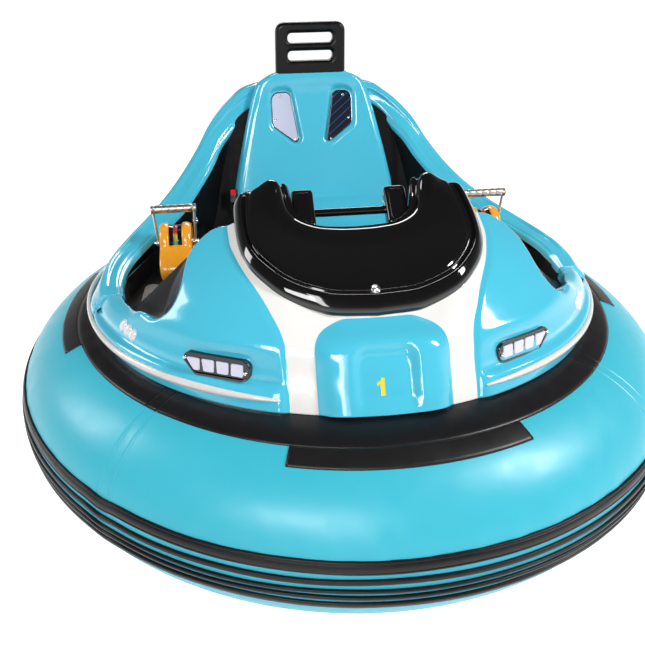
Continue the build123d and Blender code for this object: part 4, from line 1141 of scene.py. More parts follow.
def rear_surface():
    """Hoop and flank as a grid, with the hoop's inner edge and its directions."""
    rim, shoulder = hoop_rails(250)
    along = unit(np.gradient(rim, axis=0))
    wide = shoulder - rim
    across = unit(wide)
    up = unit(np.cross(along, across))
    up *= np.where(up[:, 2] + 0.3 * -up[:, 1] < 0, -1, 1)[:, None]
    up = unit(0.7 * up + 0.3 * np.array([0, 0, 1.0]))
    fade = 1 - 0.80 * (1 - step(np.abs(shoulder[:, 0]), 0.15, 0.27)) * (shoulder[:, 1] > 0.3)
    lip = [(-0.0098, 0.018)]
    lip += [(-0.0095 * math.sin(a), 0.0095 * (1 - math.cos(a)))
            for a in np.linspace(math.pi / 2, 0, 7)]
    rows = [rim + across * a - up * b for a, b in lip]
    for w in np.linspace(0.02, 1.0, 46):
        rise = float(HOOP_SECTION(w)) * fade
        rows.append(rim + wide * w + up * rise[:, None])
    # flank from the shoulder down to the foot on the ring
    count = len(rim)
    seam = np.clip(np.minimum(np.arange(count), count - 1 - np.arange(count)) / 34.0, 0, 1)
    seam = (1 - step(seam, 0, 1))[:, None]
    foot = rear_foot(rim, shoulder, seam)
    drop = shoulder[:, 2:] - BODY_Z
    size = np.linalg.norm(shoulder - foot, axis=1)[:, None]
    leave = unit(0.62 * across - 0.78 * up)
    out = unit(foot * [1, 1, 0])
    p1 = shoulder + leave * size * 0.34
    p2 = foot + np.array([0, 0, 1.0]) * drop * 0.42 - out * drop * 0.05
    for t in np.linspace(0, 1, 60)[1:]:
        rows.append((1 - t) ** 3 * shoulder + 3 * t * (1 - t) ** 2 * p1
                    + 3 * t * t * (1 - t) * p2 + t ** 3 * foot)
    v = np.array(rows)
    join_hood(v, len(lip), rim, foot, seam)
    return v, rim, across, up


REAR, REAR_RIM, REAR_ACROSS, REAR_UP = rear_surface()


def make_rear():
    v = REAR
    rows = np.arange(len(v))
    n = unit(np.cross(np.gradient(v, axis=0), np.gradient(v, axis=1)))
    n *= np.sign((n * v * [1, 1, 0])[-40:].sum(-1).mean())
    z, y = v[..., 2], v[..., 1]
    side = 1 - step(y, 0.15, 0.45)
    outer = step(rows, 30, 52)[:, None]
    proud = 0.0035 * (1 - step(z, 0.503, 0.516)) * outer
    proud -= 0.0018 * np.exp(-((z - 0.521) / 0.008) ** 2) * side * outer
    proud += 0.0025 * (1 - step(y, -0.19, 0.05)) * step(rows, 4, 12)[:, None]
    v = v + n * proud[..., None]

    def seam_rows(k):
        """Rows that turn one end of the shell inwards at the seam."""
        rows = []
        for gap, tuck in ((0.0015, 0.0004), (0.009, 0.0004), (0.012, 0.014)):
            row = v[:, k] - n[:, k] * gap
            row[:, 1] = v[:, k, 1] - tuck
            rows.append(row)
        return rows

    v = np.concatenate([np.stack(seam_rows(0)[::-1], 1), v, np.stack(seam_rows(-1), 1)],
                       axis=1)
    rear = mesh_object("rear_shell", v.reshape(-1, 3), grid_faces(*v.shape[:2]),
                       mat["turquoise"])
    piece(outward(rear), "root", "turquoise_grp", "rear_body")


# ---- cockpit ------------------------------------------------------------------------
SHELF_Z = 0.495       # lower edge of the liner


def make_liner():
    """Black inner wall that hangs from the cockpit's edge down to its shelf."""
    top = REAR_RIM - REAR_ACROSS * 0.004 - REAR_UP * 0.014
    use = REAR_RIM[:, 2] < 0.86
    parts = []
    for side in (1, -1):
        line = top[use & (REAR_RIM[:, 0] * side > 0)]
        front = spline([(side * x, y) for x, y in OPENING[9:17]], 60)
        lead = np.column_stack([front, body_height(*front.T) - 0.022])
        lead[:, 0] += side * 0.004
        line = np.vstack([lead, line]) if side > 0 else np.vstack([line, lead[::-1]])
        rows = [np.column_stack([line[:, :2], SHELF_Z + (line[:, 2] - SHELF_Z) * t])
                for t in np.linspace(0, 1, 14)]
        parts.append((np.array(rows).reshape(-1, 3), grid_faces(14, len(line))))
    skinned(fitted("cockpit_liner", parts, "dark", "black_plastic"), 0.002)


def make_bulkhead():
    """Black panel behind the seat, leaning with its back."""
    table = [(row[2], row[0]) for row in RAILS if 0.60 < row[2] < 0.92]
    reach = smooth_curve([(0.45, 0.50)] + table)
    zz, xx = np.meshgrid(np.linspace(0.50, 0.90, 120), np.linspace(-0.50, 0.50, 210),
                         indexing="ij")
    yy = seat_face(zz) + 0.030 - 0.08 * step(np.abs(xx), 0.30, 0.50)
    field = np.minimum(reach(zz) + 0.006 - np.abs(xx), np.abs(xx) - SEAT_WIDTH(zz) + 0.03)
    flat = np.stack([xx, yy, zz], -1).reshape(-1, 3)
    pts, faces = clip(flat, grid_faces(*zz.shape), field.ravel())
    panel = skinned(mesh_object("rear_panel", pts, faces, mat["dark"]), 0.004, 0.0)
    piece(panel, "root", "black_plastic", "rear_bulkhead")


def seat_profile():
    """Side line of the seat from behind its top, down the back, over the pan to the riser."""
    back = [(seat_face(z), z) for z in (0.955, 0.90, 0.80, 0.70, 0.62)]
    line = [(0.634, 0.962), (0.630, 0.986), (0.616, 1.006), (0.596, 1.017), (0.577, 1.016),
            (0.565, 1.003), (0.5590, 0.983)] + back
    line += [(0.446, 0.570), (0.425, 0.538), (0.385, 0.519), (0.330, 0.512), (0.200, 0.511),
             (0.080, 0.511), (0.045, 0.506), (0.026, 0.492), (0.020, 0.470), (0.020, 0.380),
             (0.020, 0.242)]
    return spline(line, 230)


INSERT = ((0.077, 0.954, 0.022), (0.142, 0.952, 0.026), (0.143, 0.843, 0.022),
          (0.046, 0.775, 0.011))


def insert_outline(side):
    return rounded([(side * x, z, r) for x, z, r in INSERT], steps=8)


SEAT_ROLL = 0.032     # radius of the seat's long edges
SEAT_SKIRT = np.array([0.012, 0.03, 0.06, 0.095])


def seat_rows():
    """Sections across the seat, from behind its top down to the riser."""
    line = seat_profile()
    d = unit(np.gradient(line, axis=0))
    normal = np.stack([d[:, 1], -d[:, 0]], 1)
    if normal[100] @ np.array([-1.0, 0.2]) < 0:
        normal = -normal
    width = np.where(line[:, 1] < 0.56, 0.285, SEAT_WIDTH(line[:, 1]))
    across = np.linspace(-1, 1, 121)[1:-1]
    arc = np.linspace(0, math.pi / 2, 10)
    edge_x = np.r_[SEAT_ROLL * np.sin(arc) - SEAT_ROLL, np.zeros(len(SEAT_SKIRT))]
    edge_d = np.r_[SEAT_ROLL * (1 - np.cos(arc)), SEAT_ROLL + SEAT_SKIRT]
    rows = []
    for p, n, w in zip(line, normal, width):
        shallow = 1 - 0.9 * step(p[1], 0.92, 0.965)
        side_d = np.minimum(edge_d, SEAT_ROLL) + np.maximum(edge_d - SEAT_ROLL, 0) * shallow
        side_x = w + edge_x
        x = np.r_[-side_x[::-1], across * (w - SEAT_ROLL), side_x]
        depth = np.r_[side_d[::-1], np.zeros(len(across)), side_d]
        rows.append(np.stack([x, p[0] - n[0] * depth, p[1] - n[1] * depth], -1))
    return np.array(rows)


def make_seat():
    v = seat_rows()
    x, z = v[..., 0], v[..., 2]
    front = (v[..., 1] < seat_face(z) + 0.012) & (z > 0.6)
    for side in (-1, 1):
        gap = outline_distance(x, z, insert_outline(side))
        v[..., 1] += 0.0085 * (1 - step(gap, 0.001, 0.016)) * front
    soft = 0.012 * (1 - step(np.abs(x), 0.0, 0.24)) * step(z, 0.56, 0.66) * step(z, 1.015, 0.925)
    v[..., 1] += soft * front
    fitted("seat_shell", [(v.reshape(-1, 3), grid_faces(*x.shape))], "turquoise",
           "turquoise_grp", "seat")


def lean_matrix(x, z, out=0.0):
    """Place on the seat back's face."""
    normal = Vector((0, -math.cos(SEAT_LEAN), math.sin(SEAT_LEAN)))
    return facing((x, seat_face(z), z), normal) @ Matrix.Translation((0, 0, out))


def screw_on(place, x, y, z, radius, height):
    """Screw head at a point of a placed plate."""
    return screw(place @ Vector((x, y, z)), place.to_3x3() @ Vector((0, 0, 1)), radius, height)


def make_inserts():
    """Silver and woven films in the seat's back, each in a glossy rim."""
    low_z = 0.862
    looks = {"left": ("woven", "black_grp"), "right": ("silver", "silver_panel")}
    for side, name in SIDES:
        ring = insert_outline(side) - [side * 0.1, low_z]
        ring = ring * [1, 1 / math.cos(SEAT_LEAN)]
        place = lean_matrix(side * 0.1, low_z, -0.0125)
        centre = ring.mean(0)
        film = plate(centre + (ring - centre) * 0.965, 0.006, 0.0015, place)
        rim = plate(ring, 0.006, 0.0022, place, holes=(centre + (ring - centre) * 0.93,))
        fitted(f"back_insert_film_{name}", [film], *looks[name], f"back_insert_{name}",
               smooth=False)
        fitted(f"back_insert_edge_{name}", [rim], "black_gloss", "black_grp", smooth=False)
        heads = [screw_on(place, side * (x - 0.1), (z - low_z) / 0.963, 0.003, 0.0045, 0.0025)
                 for x, z in ((0.112, 0.938), (0.131, 0.862), (0.066, 0.795))]
        fitted(f"back_insert_screws_{name}", heads, "screw", "bright_steel")


def make_headrest():
    """Flat block with two long slots."""
    low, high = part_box("headrest")
    outer = rounded_box(high.x, low.z - 0.014, high.z + 0.004, 0.004, 0.030,
                        top=high.x * 0.975)
    slots = [rounded_box(0.078, centre - 0.0155, centre + 0.0155, 0.0135, 0.0135, steps=8)
             for centre in (1.064, 1.120)]
    place = facing((0, (low.y + high.y) / 2, 0), (0, -1, 0))
    fitted("headrest_pad", [plate(outer, 0.046, 0.012, place, holes=slots)], "black",
           "black_plastic", "headrest", sharp=40)


# ---- cowl ---------------------------------------------------------------------------
COWL_RIM = (          # outer edge from the middle back along one arm: x, y, z
    (0.000, -0.538, 0.633), (0.088, -0.531, 0.636), (0.130, -0.523, 0.645),
    (0.172, -0.510, 0.658), (0.206, -0.493, 0.672), (0.238, -0.464, 0.689),
    (0.267, -0.426, 0.706), (0.287, -0.380, 0.724), (0.297, -0.322, 0.746),
    (0.300, -0.258, 0.770), (0.297, -0.208, 0.789), (0.278, -0.170, 0.805))
COWL_EDGE = (         # edge of the notch over the same run
    (0.000, -0.268, 0.728), (0.045, -0.267, 0.729), (0.088, -0.262, 0.732),
    (0.122, -0.248, 0.742), (0.142, -0.228, 0.757), (0.150, -0.207, 0.775),
    (0.154, -0.190, 0.792), (0.158, -0.178, 0.806), (0.163, -0.170, 0.815),
    (0.175, -0.163, 0.822))


def cowl_grid():
    """Cowl's skin from its rim in to the notch, with the rolls along both edges."""
    rim, edge = [np.vstack([half[::-1] * [-1, 1, 1], half[1:]])
                 for half in (spline(COWL_RIM, 130), spline(COWL_EDGE, 130))]
    count = len(rim)
    s = np.abs(np.linspace(-1, 1, count))
    span = np.linalg.norm(rim[:, :2] - edge[:, :2], axis=1)
    rows = 96
    v = np.zeros((rows, count, 3))
    for k in range(count):
        d = np.concatenate([np.linspace(0, 0.062, 42), np.linspace(0.064, span[k] - 0.045, 24),
                            np.linspace(span[k] - 0.043, span[k], 30)])
        u = d / span[k]
        e = span[k] - d
        flat = rim[k, :2] + (edge[k, :2] - rim[k, :2]) * u[:, None]
        rise = step(u, 0.0, 0.95)
        z = rim[k, 2] + (edge[k, 2] - rim[k, 2]) * (0.35 * u + 0.65 * np.sqrt(u + 1e-9))
        fat = 0.015 * np.sqrt(np.clip(1 - ((d - 0.013) / 0.013) ** 2, 0, 1))
        thin = 0.007 * np.exp(-((d - 0.0345) / 0.0045) ** 2)
        shoulder = 0.010 * step(d, 0.004, 0.024) + 0.009 * step(d, 0.034, 0.050)
        ridge = 0.010 * np.exp(-((e - 0.048) / 0.026) ** 2)
        lip = -0.012 * np.exp(-((e - 0.016) / 0.010) ** 2)
        end = -0.010 * (1 - step(e, 0.0, 0.008))
        z = z + fat + thin + shoulder + ridge + lip + end + 0.004 * rise
        v[:, k] = np.column_stack([flat, z])
    arm = step(s, 0.90, 1.0)
    v[..., 2] -= (0.018 * arm ** 2)[None]
    horn = np.exp(-((s - 0.86) / 0.075) ** 2)
    across = np.linspace(0, 1, rows)
    v[..., 2] += 0.014 * horn[None] * np.exp(-((across - 0.72) / 0.22) ** 2)[:, None]
    return v


def make_cowl():
    v = cowl_grid()
    inwards = np.zeros_like(v[0])
    inwards[:, :2] = unit(v[6, :, :2] - v[0, :, :2])
    down = np.array([0.0, 0.0, 1.0])
    skirt = [v[0] - down * drop + inwards * tuck
             for drop, tuck in ((0.034, 0.028), (0.018, 0.016), (0.008, 0.007), (0.003, 0.002))]
    inner = [v[-1] - down * drop for drop in (0.004, 0.012, 0.030, 0.060, 0.100)]
    full = np.concatenate([skirt, v, inner])
    ends = [(0.003, 0.005), (0.010, 0.009), (0.022, 0.011), (0.070, 0.011)]
    left = [full[:, 0] + [0, back, -drop] for drop, back in ends[::-1]]
    right = [full[:, -1] + [0, back, -drop] for drop, back in ends]
    full = np.concatenate([np.stack(left, 1), full, np.stack(right, 1)], axis=1)
    fitted("cowl_shell", [(full.reshape(-1, 3), grid_faces(*full.shape[:2]))],
           "black_gloss", "black_grp", "front_cowl")
    lock = lathe([(-0.008, 0.0105), (0.003, 0.0105), (0.0042, 0.0098), (0.0046, 0.0082),
                  (0.0032, 0.0074), (0.0030, 0.0058), (0.0048, 0.0052), (0.0052, 0.00002)],
                 Vector((0.0, -0.508, 0.681)), Vector((0, -0.45, 0.89)).normalized(), 40)
    fitted("cowl_lock_barrel", [lock], "screw", "bright_steel", "cowl_lock")


def make_grab_bar():
    """Bar across the notch, between two upright blocks."""
    low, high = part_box("grab_bar")
    slant = math.radians(41)
    out = Vector((0, -math.sin(slant), math.cos(slant)))
    along = Vector((0, math.cos(slant), math.sin(slant)))
    parts = []
    for s in (1, -1):
        place = Matrix((Vector((1, 0, 0)), along, out)).transposed().to_4x4()
        place.translation = Vector((s * (high.x - 0.0285), -0.192, 0.762))
        parts.append(plate(rounded_box(0.0285, -0.056, 0.056, 0.011, 0.013), 0.034, 0.007,
                           place))
        parts.append(plate(rounded_box(0.019, -0.044, 0.044, 0.006, 0.006), 0.004, 0.0018,
                           place @ Matrix.Translation((0, 0, 0.0165))))
    y, z = (low.y + high.y) / 2, 0.755
    parts.append(tube([(x, y, z) for x in (-0.112, 0, 0.112)], 0.0105, 28, cap=False))
    fitted("grab_bar_frame", parts, "black_gloss", "black_plastic", "grab_bar", sharp=50)


# ---- lamps --------------------------------------------------------------------------
LAMP_SHIFT = {"left": -0.021, "right": -0.002}      # towards the middle


def lamp_matrix(side, name):
    turn, tilt = math.radians(24), math.radians(12)
    out = Vector((side * math.sin(turn) * math.cos(tilt), -math.cos(turn) * math.cos(tilt),
                  math.sin(tilt)))
    centre = middle(f"headlight_bezel_{name}")
    return facing(centre - out * 0.003 + Vector((LAMP_SHIFT[name] * side, 0, 0.004)), out)


def make_headlights():
    """Four lenses in each glossy frame, the outermost with a slanted edge."""
    lenses = []
    w, h, half = 0.086, 0.0245, 0.0145
    for side, name in SIDES:
        place = lamp_matrix(side, name)
        ring = rounded([(-w * side, -h, 0.021), (-w * side, h * 0.96, 0.020),
                        (w * side, h, 0.011), (w * side * 0.56, -h, 0.014)])
        rim = plate(ring, 0.010, 0.004, place @ Matrix.Translation((0, 0, 0.0145)),
                    holes=(ring * [0.93, 0.86],))
        fitted(f"headlight_frame_{name}", [plate(ring, 0.030, 0.006, place), rim],
               "black_gloss", "black_grp", f"headlight_bezel_{name}", sharp=50)
        for k in range(4):
            x = -0.0555 + 0.0345 * k
            slant = 0.014 if k == 3 else 0.0016 * k
            quad = [(side * (x - half), -half, 0.004), (side * (x - half), half, 0.004),
                    (side * (x + half) + side * slant * 0.5, half, 0.004),
                    (side * (x + half) - side * slant, -half, 0.004)]
            lenses.append(plate(rounded(quad, steps=5), 0.005, 0.0018,
                                place @ Matrix.Translation((side * 0.001, 0.0, 0.0165))))
        heads = [screw_on(place, side * x, y, 0.0185, 0.0045, 0.003)
                 for x, y in ((-0.074, -0.004), (0.071, 0.012))]
        fitted(f"headlight_screws_{name}", heads, "screw", "bright_steel")
    fitted("headlight_lens_set", lenses, "lens", "lamp_lens", "headlight_lenses",
           smooth=False)


def foot_point(angle, z, proud):
    """Point on the hood's level oval at an angle from the nose, and its normal."""
    a, b = hood_size(z)
    x, y = a * math.sin(angle), -b * math.cos(angle)
    n = Vector((math.sin(angle) / a, -math.cos(angle) / b, 0)).normalized()
    return Vector((x, y, z)) + n * proud, n


def strip_section(angle, t):
    """Section of a light strip at a share t of its length."""
    z = 0.4955 - 0.004 * step(t, 0.1, 0.5) + 0.004 * step(t, 0.55, 0.85)
    taper = min(1.0, 0.10 + 0.90 * math.sqrt(min(1.0, t / 0.16)))
    half = 0.0098 * taper * min(1.0, (1 - t) / 0.03 + 0.15)
    p, n = foot_point(angle, z, 0.0118)
    return [(p + n * (0.0080 * math.cos(a) * (0.4 + 0.6 * taper) - 0.0015)
             + Vector((0, 0, half * math.sin(a))))[:]
            for a in np.linspace(-math.pi * 0.62, math.pi * 0.62, 13)]


def make_light_strips():
    """Long white strips that taper to a point at the nose, one each side."""
    start, end = math.radians(18.0), math.radians(105)
    parts = []
    for side in (1, -1):
        v = np.array([strip_section(side * (start + (end - start) * t), t)
                      for t in np.linspace(0, 1, 170)])
        rows, cols = v.shape[:2]
        ends = [[row * cols + k for k in range(cols)] for row in (0, rows - 1)]
        parts.append((v.reshape(-1, 3), grid_faces(rows, cols, False, True).tolist() + ends))
    strips = outward(merged("light_strip_pair", parts, mat["strip"]))
    piece(strips, "root", "white_lens", "light_strips")


def make_markers():
    """Three small domes on each side of the hood."""
    u, w = np.meshgrid(np.linspace(0, 2 * math.pi, 32, endpoint=False),
                       np.linspace(0, math.pi / 2, 12))
    for side, name in SIDES:
        parts = []
        for k in (-1, 0, 1):
            angle = math.radians(55.0 + 2.1 * k)
            p, n = foot_point(side * angle, 0.5400 + 0.0030 * k, 0.002)
            n = (n + Vector((0, 0, 0.45))).normalized()
            tangent = Vector((n.y, -n.x, 0)).normalized() * side
            long = (Vector((0, 0, 1)) * 0.8 + tangent * 0.25).normalized()
            long = (long - n * long.dot(n)).normalized()
            pts = (np.array(p)
                   + (0.0195 * np.cos(w) * np.cos(u))[..., None] * np.array(long)
                   + (0.0150 * np.cos(w) * np.sin(u))[..., None] * np.array(n.cross(long))
                   + (0.0145 * np.sin(w) - 0.003)[..., None] * np.array(n))
            parts.append((pts.reshape(-1, 3), grid_faces(*u.shape, False, True)))
        fitted(f"side_marker_lens_{name}", parts, "marker", "white_lens",
               f"side_marker_{name}")


NUMERAL = ((-0.0042, 0.0), (0.0054, 0.0), (0.0054, 0.032), (-0.0010, 0.032),
           (-0.0040, 0.0268), (-0.0112, 0.0240), (-0.0112, 0.0176), (-0.0042, 0.0204))
NUMERAL_X, NUMERAL_Z = -0.010, 0.5060


def make_numeral():
    """Generic figure on the front pad."""
    flat = hood_surface()[0].reshape(-1, 3)
    pick = (np.abs(flat[:, 0]) < 0.03) & (flat[:, 1] < -0.4)
    near = flat[pick & (flat[:, 2] > 0.47) & (flat[:, 2] < 0.57)]
    face_y = smooth_curve([(z, near[np.abs(near[:, 2] - z) < 0.004][:, 1].mean())
                           for z in np.linspace(0.49, 0.555, 6)])
    work = bmesh.new()
    face = work.faces.new([work.verts.new((x, 0, z)) for x, z in NUMERAL])
    grown = bmesh.ops.extrude_face_region(work, geom=[face])
    moved = [g for g in grown["geom"] if isinstance(g, bmesh.types.BMVert)]
    bmesh.ops.translate(work, verts=moved, vec=(0, -0.0012, 0))
    bmesh.ops.recalc_face_normals(work, faces=work.faces)
    mesh = bpy.data.meshes.new("numeral")
    work.to_mesh(mesh)
    work.free()
    for vert in mesh.vertices:
        z = vert.co.z + NUMERAL_Z
        vert.co = Vector((vert.co.x + NUMERAL_X, vert.co.y + float(face_y(z)) + 0.0002, z))
    figure = bpy.data.objects.new("pad_numeral", mesh)
    scene.collection.objects.link(figure)
    mesh.materials.append(mat["numeral"])
    piece(figure, "root", "turquoise_grp")


# ---- scoops, levers and small parts -------------------------------------------------
SCOOP_NORMAL = (0.66, -0.15, 0.73)
SCOOP_ORIGIN = (0.49, -0.33, 0.60)
SCOOP_TIP = (0.478, -0.405)


def scoop_lip(p):
    lip = np.array(quarter(0.004, 4) + [(0.004, 0.012)])
    return np.repeat(lip[None], len(p), 0)


def make_scoops():
    """Dished black panels in the opening's front corners."""
    yy, xx = np.meshgrid(np.linspace(-0.440, -0.195, 160), np.linspace(0.400, 0.63, 150),
                         indexing="ij")
    (nx, ny, nz), (ox, oy, oz) = SCOOP_NORMAL, SCOOP_ORIGIN
    zz = oz - (nx * (xx - ox) + ny * (yy - oy)) / nz
    edge = -outline_distance(xx, yy, opening)
    far = np.hypot(xx - SCOOP_TIP[0], yy - SCOOP_TIP[1])
    zz = zz - 0.020 * step(edge, -0.002, 0.050) * (1 - 0.45 * step(far, 0.05, 0.20))
    field = np.minimum(np.minimum(edge + 0.0075, xx - 0.402), -0.228 - yy).ravel()
    for side, name in SIDES:
        flat = np.stack([side * xx, yy, zz], -1).reshape(-1, 3)
        pts, faces = clip(flat, grid_faces(*xx.shape), field)
        pts, faces = roll_edges(pts, upward(pts, faces), scoop_lip, 6)
        fitted(f"scoop_shell_{name}", [(pts, faces)], "scoop", "black_grp",
               f"scoop_panel_{name}")


LEVER_Y, LEVER_Z = 0.088, 0.592


def grip_profile(half):
    """Knurled grip in five rings between its end caps."""
    profile = [(-half, 0.0005), (-half, 0.010), (-half + 0.0015, 0.0125),
               (-half + 0.010, 0.0127), (-half + 0.011, 0.0116)]
    start, end, count = -half + 0.013, half - 0.013, 5
    for k in range(count):
        a = start + (end - start) * k / count
        b = start + (end - start) * (k + 1) / count
        profile += [(a + 0.0004, 0.0117), (a + 0.0020, 0.0121), ((a + b) / 2, 0.0123),
                    (b - 0.0020, 0.0121), (b - 0.0004, 0.0117)]
    return profile + [(half - 0.011, 0.0112), (half - 0.010, 0.0125),
                      (half - 0.0015, 0.0125), (half, 0.010), (half, 0.0005)]


def make_levers():
    """Grip on two legs that end in eyes at the pivot."""
    eye = [(-0.004, 0.0002), (-0.004, 0.0105), (-0.003, 0.0115), (0.003, 0.0115),
           (0.004, 0.0105), (0.004, 0.0002)]
    for _, name in SIDES:
        low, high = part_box(f"lever_{name}")
        x, half, top = middle(f"lever_{name}").x, (high.x - low.x) / 2, high.z - 0.012
        parts = [lathe(grip_profile(half), (x, LEVER_Y, top), (1, 0, 0), 40)]
        for s in (1, -1):
            leg_x, foot_x = x + s * (half - 0.006), x + s * 0.056
            line = [(leg_x, LEVER_Y, top - 0.002), (leg_x - s * 0.0005, LEVER_Y, top - 0.02),
                    (foot_x + s * 0.001, LEVER_Y, LEVER_Z + 0.020),
                    (foot_x, LEVER_Y, LEVER_Z)]
            parts.append(tube(spline(line, 22), 0.0042, 16))
            parts.append(lathe(eye, (foot_x, LEVER_Y, LEVER_Z), (1, 0, 0), 28))
        fitted(f"lever_handle_{name}", parts, "steel", "bright_steel", f"lever_{name}",
               sharp=55, body=f"lever_{name}")


DRUM = 0.060          # radius of the lever housing's round part
HOUSING_SIDE = [      # inwards from one side to the slot: place across, step from the outline
    (-0.0475, -0.020), (-0.0475, -0.010), (-0.0460, -0.0055), (-0.0425, -0.0018),
    (-0.0355, 0.0), (-0.030, 0.0006), (-0.0235, -0.0004), (-0.0205, -0.0018),
    (-0.0190, -0.005), (-0.0187, -0.011)]


def drum_radius(angle):
    """Side outline of the lever housing: a drum with a sloped toe."""
    c = np.stack([np.cos(angle), np.sin(angle)], -1)

    def side_at(distance, towards):
        """Reach of a straight side, or far where the angle points away from it."""
        return np.where(towards > 1e-3, distance / np.maximum(towards, 1e-3), 9)

    base = side_at(0.092, -c[:, 1])
    slope = side_at(0.060, c @ np.array([-0.62, 0.785]))
    back = side_at(0.058, c[:, 0])
    wedge = np.minimum(np.minimum(np.minimum(base, slope), back), 0.135)
    reach = np.where(c[:, 1] < 0.1, wedge, DRUM)
    blend = step(-c[:, 1], -0.15, 0.35)
    return DRUM + (np.maximum(reach, DRUM) - DRUM) * blend


def round_pivot(x, radius, angle):
    """Points at a radius and angle round the levers' pivot line."""
    return np.stack([np.full(np.shape(angle), x), LEVER_Y + radius * np.cos(angle),
                     LEVER_Z + radius * np.sin(angle)], -1)


def make_housings():
    """Orange housings, slotted over the top, with a gauge strip in the slot."""
    angle = np.linspace(0, 2 * math.pi, 150, endpoint=False)
    r = circular_smooth(drum_radius(angle), 10)
    slot_open = step(np.sin(angle), 0.12, 0.24)
    cols = HOUSING_SIDE + [(-a, b) for a, b in reversed(HOUSING_SIDE)]
    a = np.linspace(math.radians(172), math.radians(60), 60)
    floor_r = np.interp(a % (2 * math.pi), angle, r) - 0.0078
    low_a = math.radians(206)
    for _, name in SIDES:
        x0 = middle(f"lever_{name}").x
        v = np.array([round_pivot(x0 + dx, r + dr * (slot_open if abs(dx) < 0.0192 else 1),
                                  angle) for dx, dr in cols])
        rim = np.arange(len(angle))
        ends = [rim.tolist(), (rim + (len(cols) - 1) * len(angle)).tolist()]
        faces = grid_faces(len(cols), len(angle), False, True).tolist() + ends
        shell = mesh_object(f"lever_housing_shell_{name}", v.reshape(-1, 3), faces,
                            mat["orange"])
        piece(outward(shell), "root", "orange_plastic", f"lever_housing_{name}")
        strip = np.array([round_pivot(x0 + dx, floor_r + dr, a)
                          for dx, dr in ((-0.0184, 0.003), (-0.0064, -0.0005),
                                         (-0.0062, 0.0006), (0.0062, 0.0006),
                                         (0.0064, -0.0005), (0.0184, 0.003))])
        black = mesh_object(f"lever_slot_{name}", strip[[0, 1, 4, 5]].reshape(-1, 3),
                            grid_faces(4, len(a)), mat["black_gloss"])
        piece(black, "root", "orange_plastic")
        gauge = mesh_object(f"lever_gauge_{name}", strip[1:5].reshape(-1, 3),
                            grid_faces(4, len(a)), mat["signal"],
                            values={"along": np.tile(1 - np.linspace(0, 1, len(a)), 4)})
        piece(gauge, "root", "orange_plastic")
        heads = [screw(round_pivot(x0, 0.0590, low_a), (0, math.cos(low_a), math.sin(low_a)),
                       0.0042, 0.0025)]
        heads += [screw((x0 + s * 0.0485, LEVER_Y + 0.028, LEVER_Z - 0.03), (s, 0, 0), 0.0045,
                        0.0028) for s in (1, -1)]
        fitted(f"lever_housing_screws_{name}", heads, "screw", "bright_steel")


def make_fittings():
    """Bolts, washers and the belt's release button."""
    heads = []
    for side in (1, -1):
        heads.append(screw((side * 0.432, 0.305, 0.585), (-side * 0.75, -0.6, 0.3), 0.013, 0.004))
        heads.append(screw((side * 0.556, -0.205, 0.4905), (0, 0, 1), 0.006, 0.004))
        heads.append(screw((side * 0.47, 0.205, 0.4905), (0, 0, 1), 0.006, 0.004))
    fitted("cockpit_bolts", heads, "screw", "bright_steel")
    low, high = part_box("belt_buckle")
    c = middle("belt_buckle")
    w, h = (high.x - low.x) / 2, 0.026
    place = facing((c.x, c.y, high.z - h), (0, -0.9, 0.35))
    case = plate(rounded_box(w, -h, h, 0.005, 0.006), high.y - low.y, 0.0035, place)
    stalk = tube([(c.x, c.y, low.z), (c.x, c.y, high.z - 2 * h + 0.004)], 0.005, 16)
    fitted("belt_buckle_case", [case, stalk], "black", "black_plastic", "belt_buckle")
    key = plate(rounded_box(w * 0.7, -0.007, 0.015, 0.002, 0.003), 0.006, 0.0015,
                place @ Matrix.Translation((0, 0.008, 0.0105)))
    fitted("belt_release_button", [key], "button", "red_lens", smooth=False)


def on_flank(point):
    """Nearest point of the rear shell's flank and its outward direction there."""
    n = unit(np.cross(np.gradient(REAR, axis=0), np.gradient(REAR, axis=1)))
    gap = np.linalg.norm(REAR - np.array(point), axis=-1)
    gap[:30] = 9
    at = np.unravel_index(np.argmin(gap), gap.shape)
    out = n[at] * np.sign(n[at] @ (REAR[at] * [1, 1, 0]))
    return Vector(REAR[at]), Vector(out)


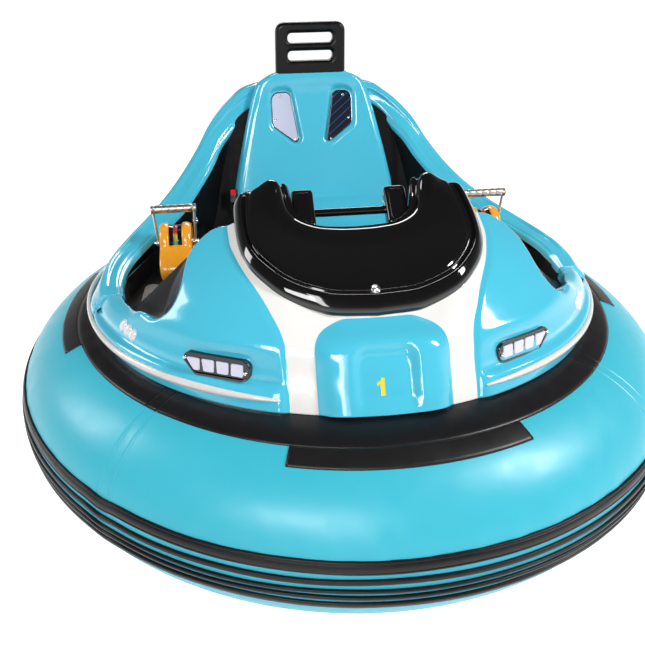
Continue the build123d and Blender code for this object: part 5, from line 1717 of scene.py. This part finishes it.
def make_rear_fittings():
    """Round tail lamps and the hooded charge socket on the rear shell."""
    low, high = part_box("tail_lamps")
    centre = middle("tail_lamps")
    radius = (high.z - low.z) / 2
    rim = [(-0.006, radius), (0.003, radius), (0.0055, radius - 0.002),
           (0.0055, radius - 0.006), (0.002, radius - 0.0065)]
    dome = [(0.002 + 0.009 * math.cos(a), (radius - 0.0062) * math.sin(a) + 0.00001)
            for a in np.linspace(math.pi / 2, 0, 10)]
    spots = [on_flank((side * (high.x - radius), centre.y, centre.z)) for side in (1, -1)]
    fitted("tail_lamp_lens", [lathe(dome, *spot, 56) for spot in spots], "red", "red_lens",
           "tail_lamps")
    fitted("tail_lamp_rims", [lathe(rim, *spot, 56) for spot in spots], "black_gloss",
           "black_grp")
    low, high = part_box("charge_socket")
    radius = min(high.x - low.x, high.z - low.z) / 2
    p, out = on_flank(middle("charge_socket"))
    body = lathe([(-0.006, radius), (0.005, radius), (0.007, radius - 0.003),
                  (0.007, radius * 0.62), (0.0, radius * 0.58), (-0.002, 0.00002)], p, out, 48)
    pins = [lathe([(-0.002, 0.003), (0.005, 0.003), (0.0056, 0.00002)],
                  p + Vector((s * 0.006, 0, 0)), out, 16) for s in (1, -1)]
    fitted("charge_socket_body", [body], "black", "black_plastic", "charge_socket", sharp=50)
    fitted("charge_socket_pins", pins, "screw", "bright_steel")


def finish_cad_nodes():
    """Carried-over pieces get their finish."""
    finishes = {
        "shelf": ("cockpit_tub",), "tread": ("tread_plates",),
        "frame": ("chassis_frame", "chassis_hoop"), "battery": ("batteries",),
        "alloy": ("drive_motor_left", "drive_motor_right", "drive_hub_left", "drive_hub_right"),
        "tyre": ("drive_tyre_left", "drive_tyre_right", "caster_wheel_front",
                 "caster_wheel_rear"),
        "zinc": ("caster_fork_front", "caster_fork_rear"), "screw": ("lever_pins",),
    }
    for key, names in finishes.items():
        for name in names:
            slots = nodes[name].material_slots
            if not slots:
                nodes[name].data.materials.append(mat[key])
            for one in slots:
                one.material = mat[key]


make_ring()
make_band()
make_patches()
make_ribs()
make_hood()
make_rear()
make_liner()
make_bulkhead()
make_seat()
make_inserts()
make_headrest()
make_cowl()
make_grab_bar()
make_headlights()
make_light_strips()
make_markers()
make_numeral()
make_scoops()
make_levers()
make_housings()
make_fittings()
make_rear_fittings()
finish_cad_nodes()
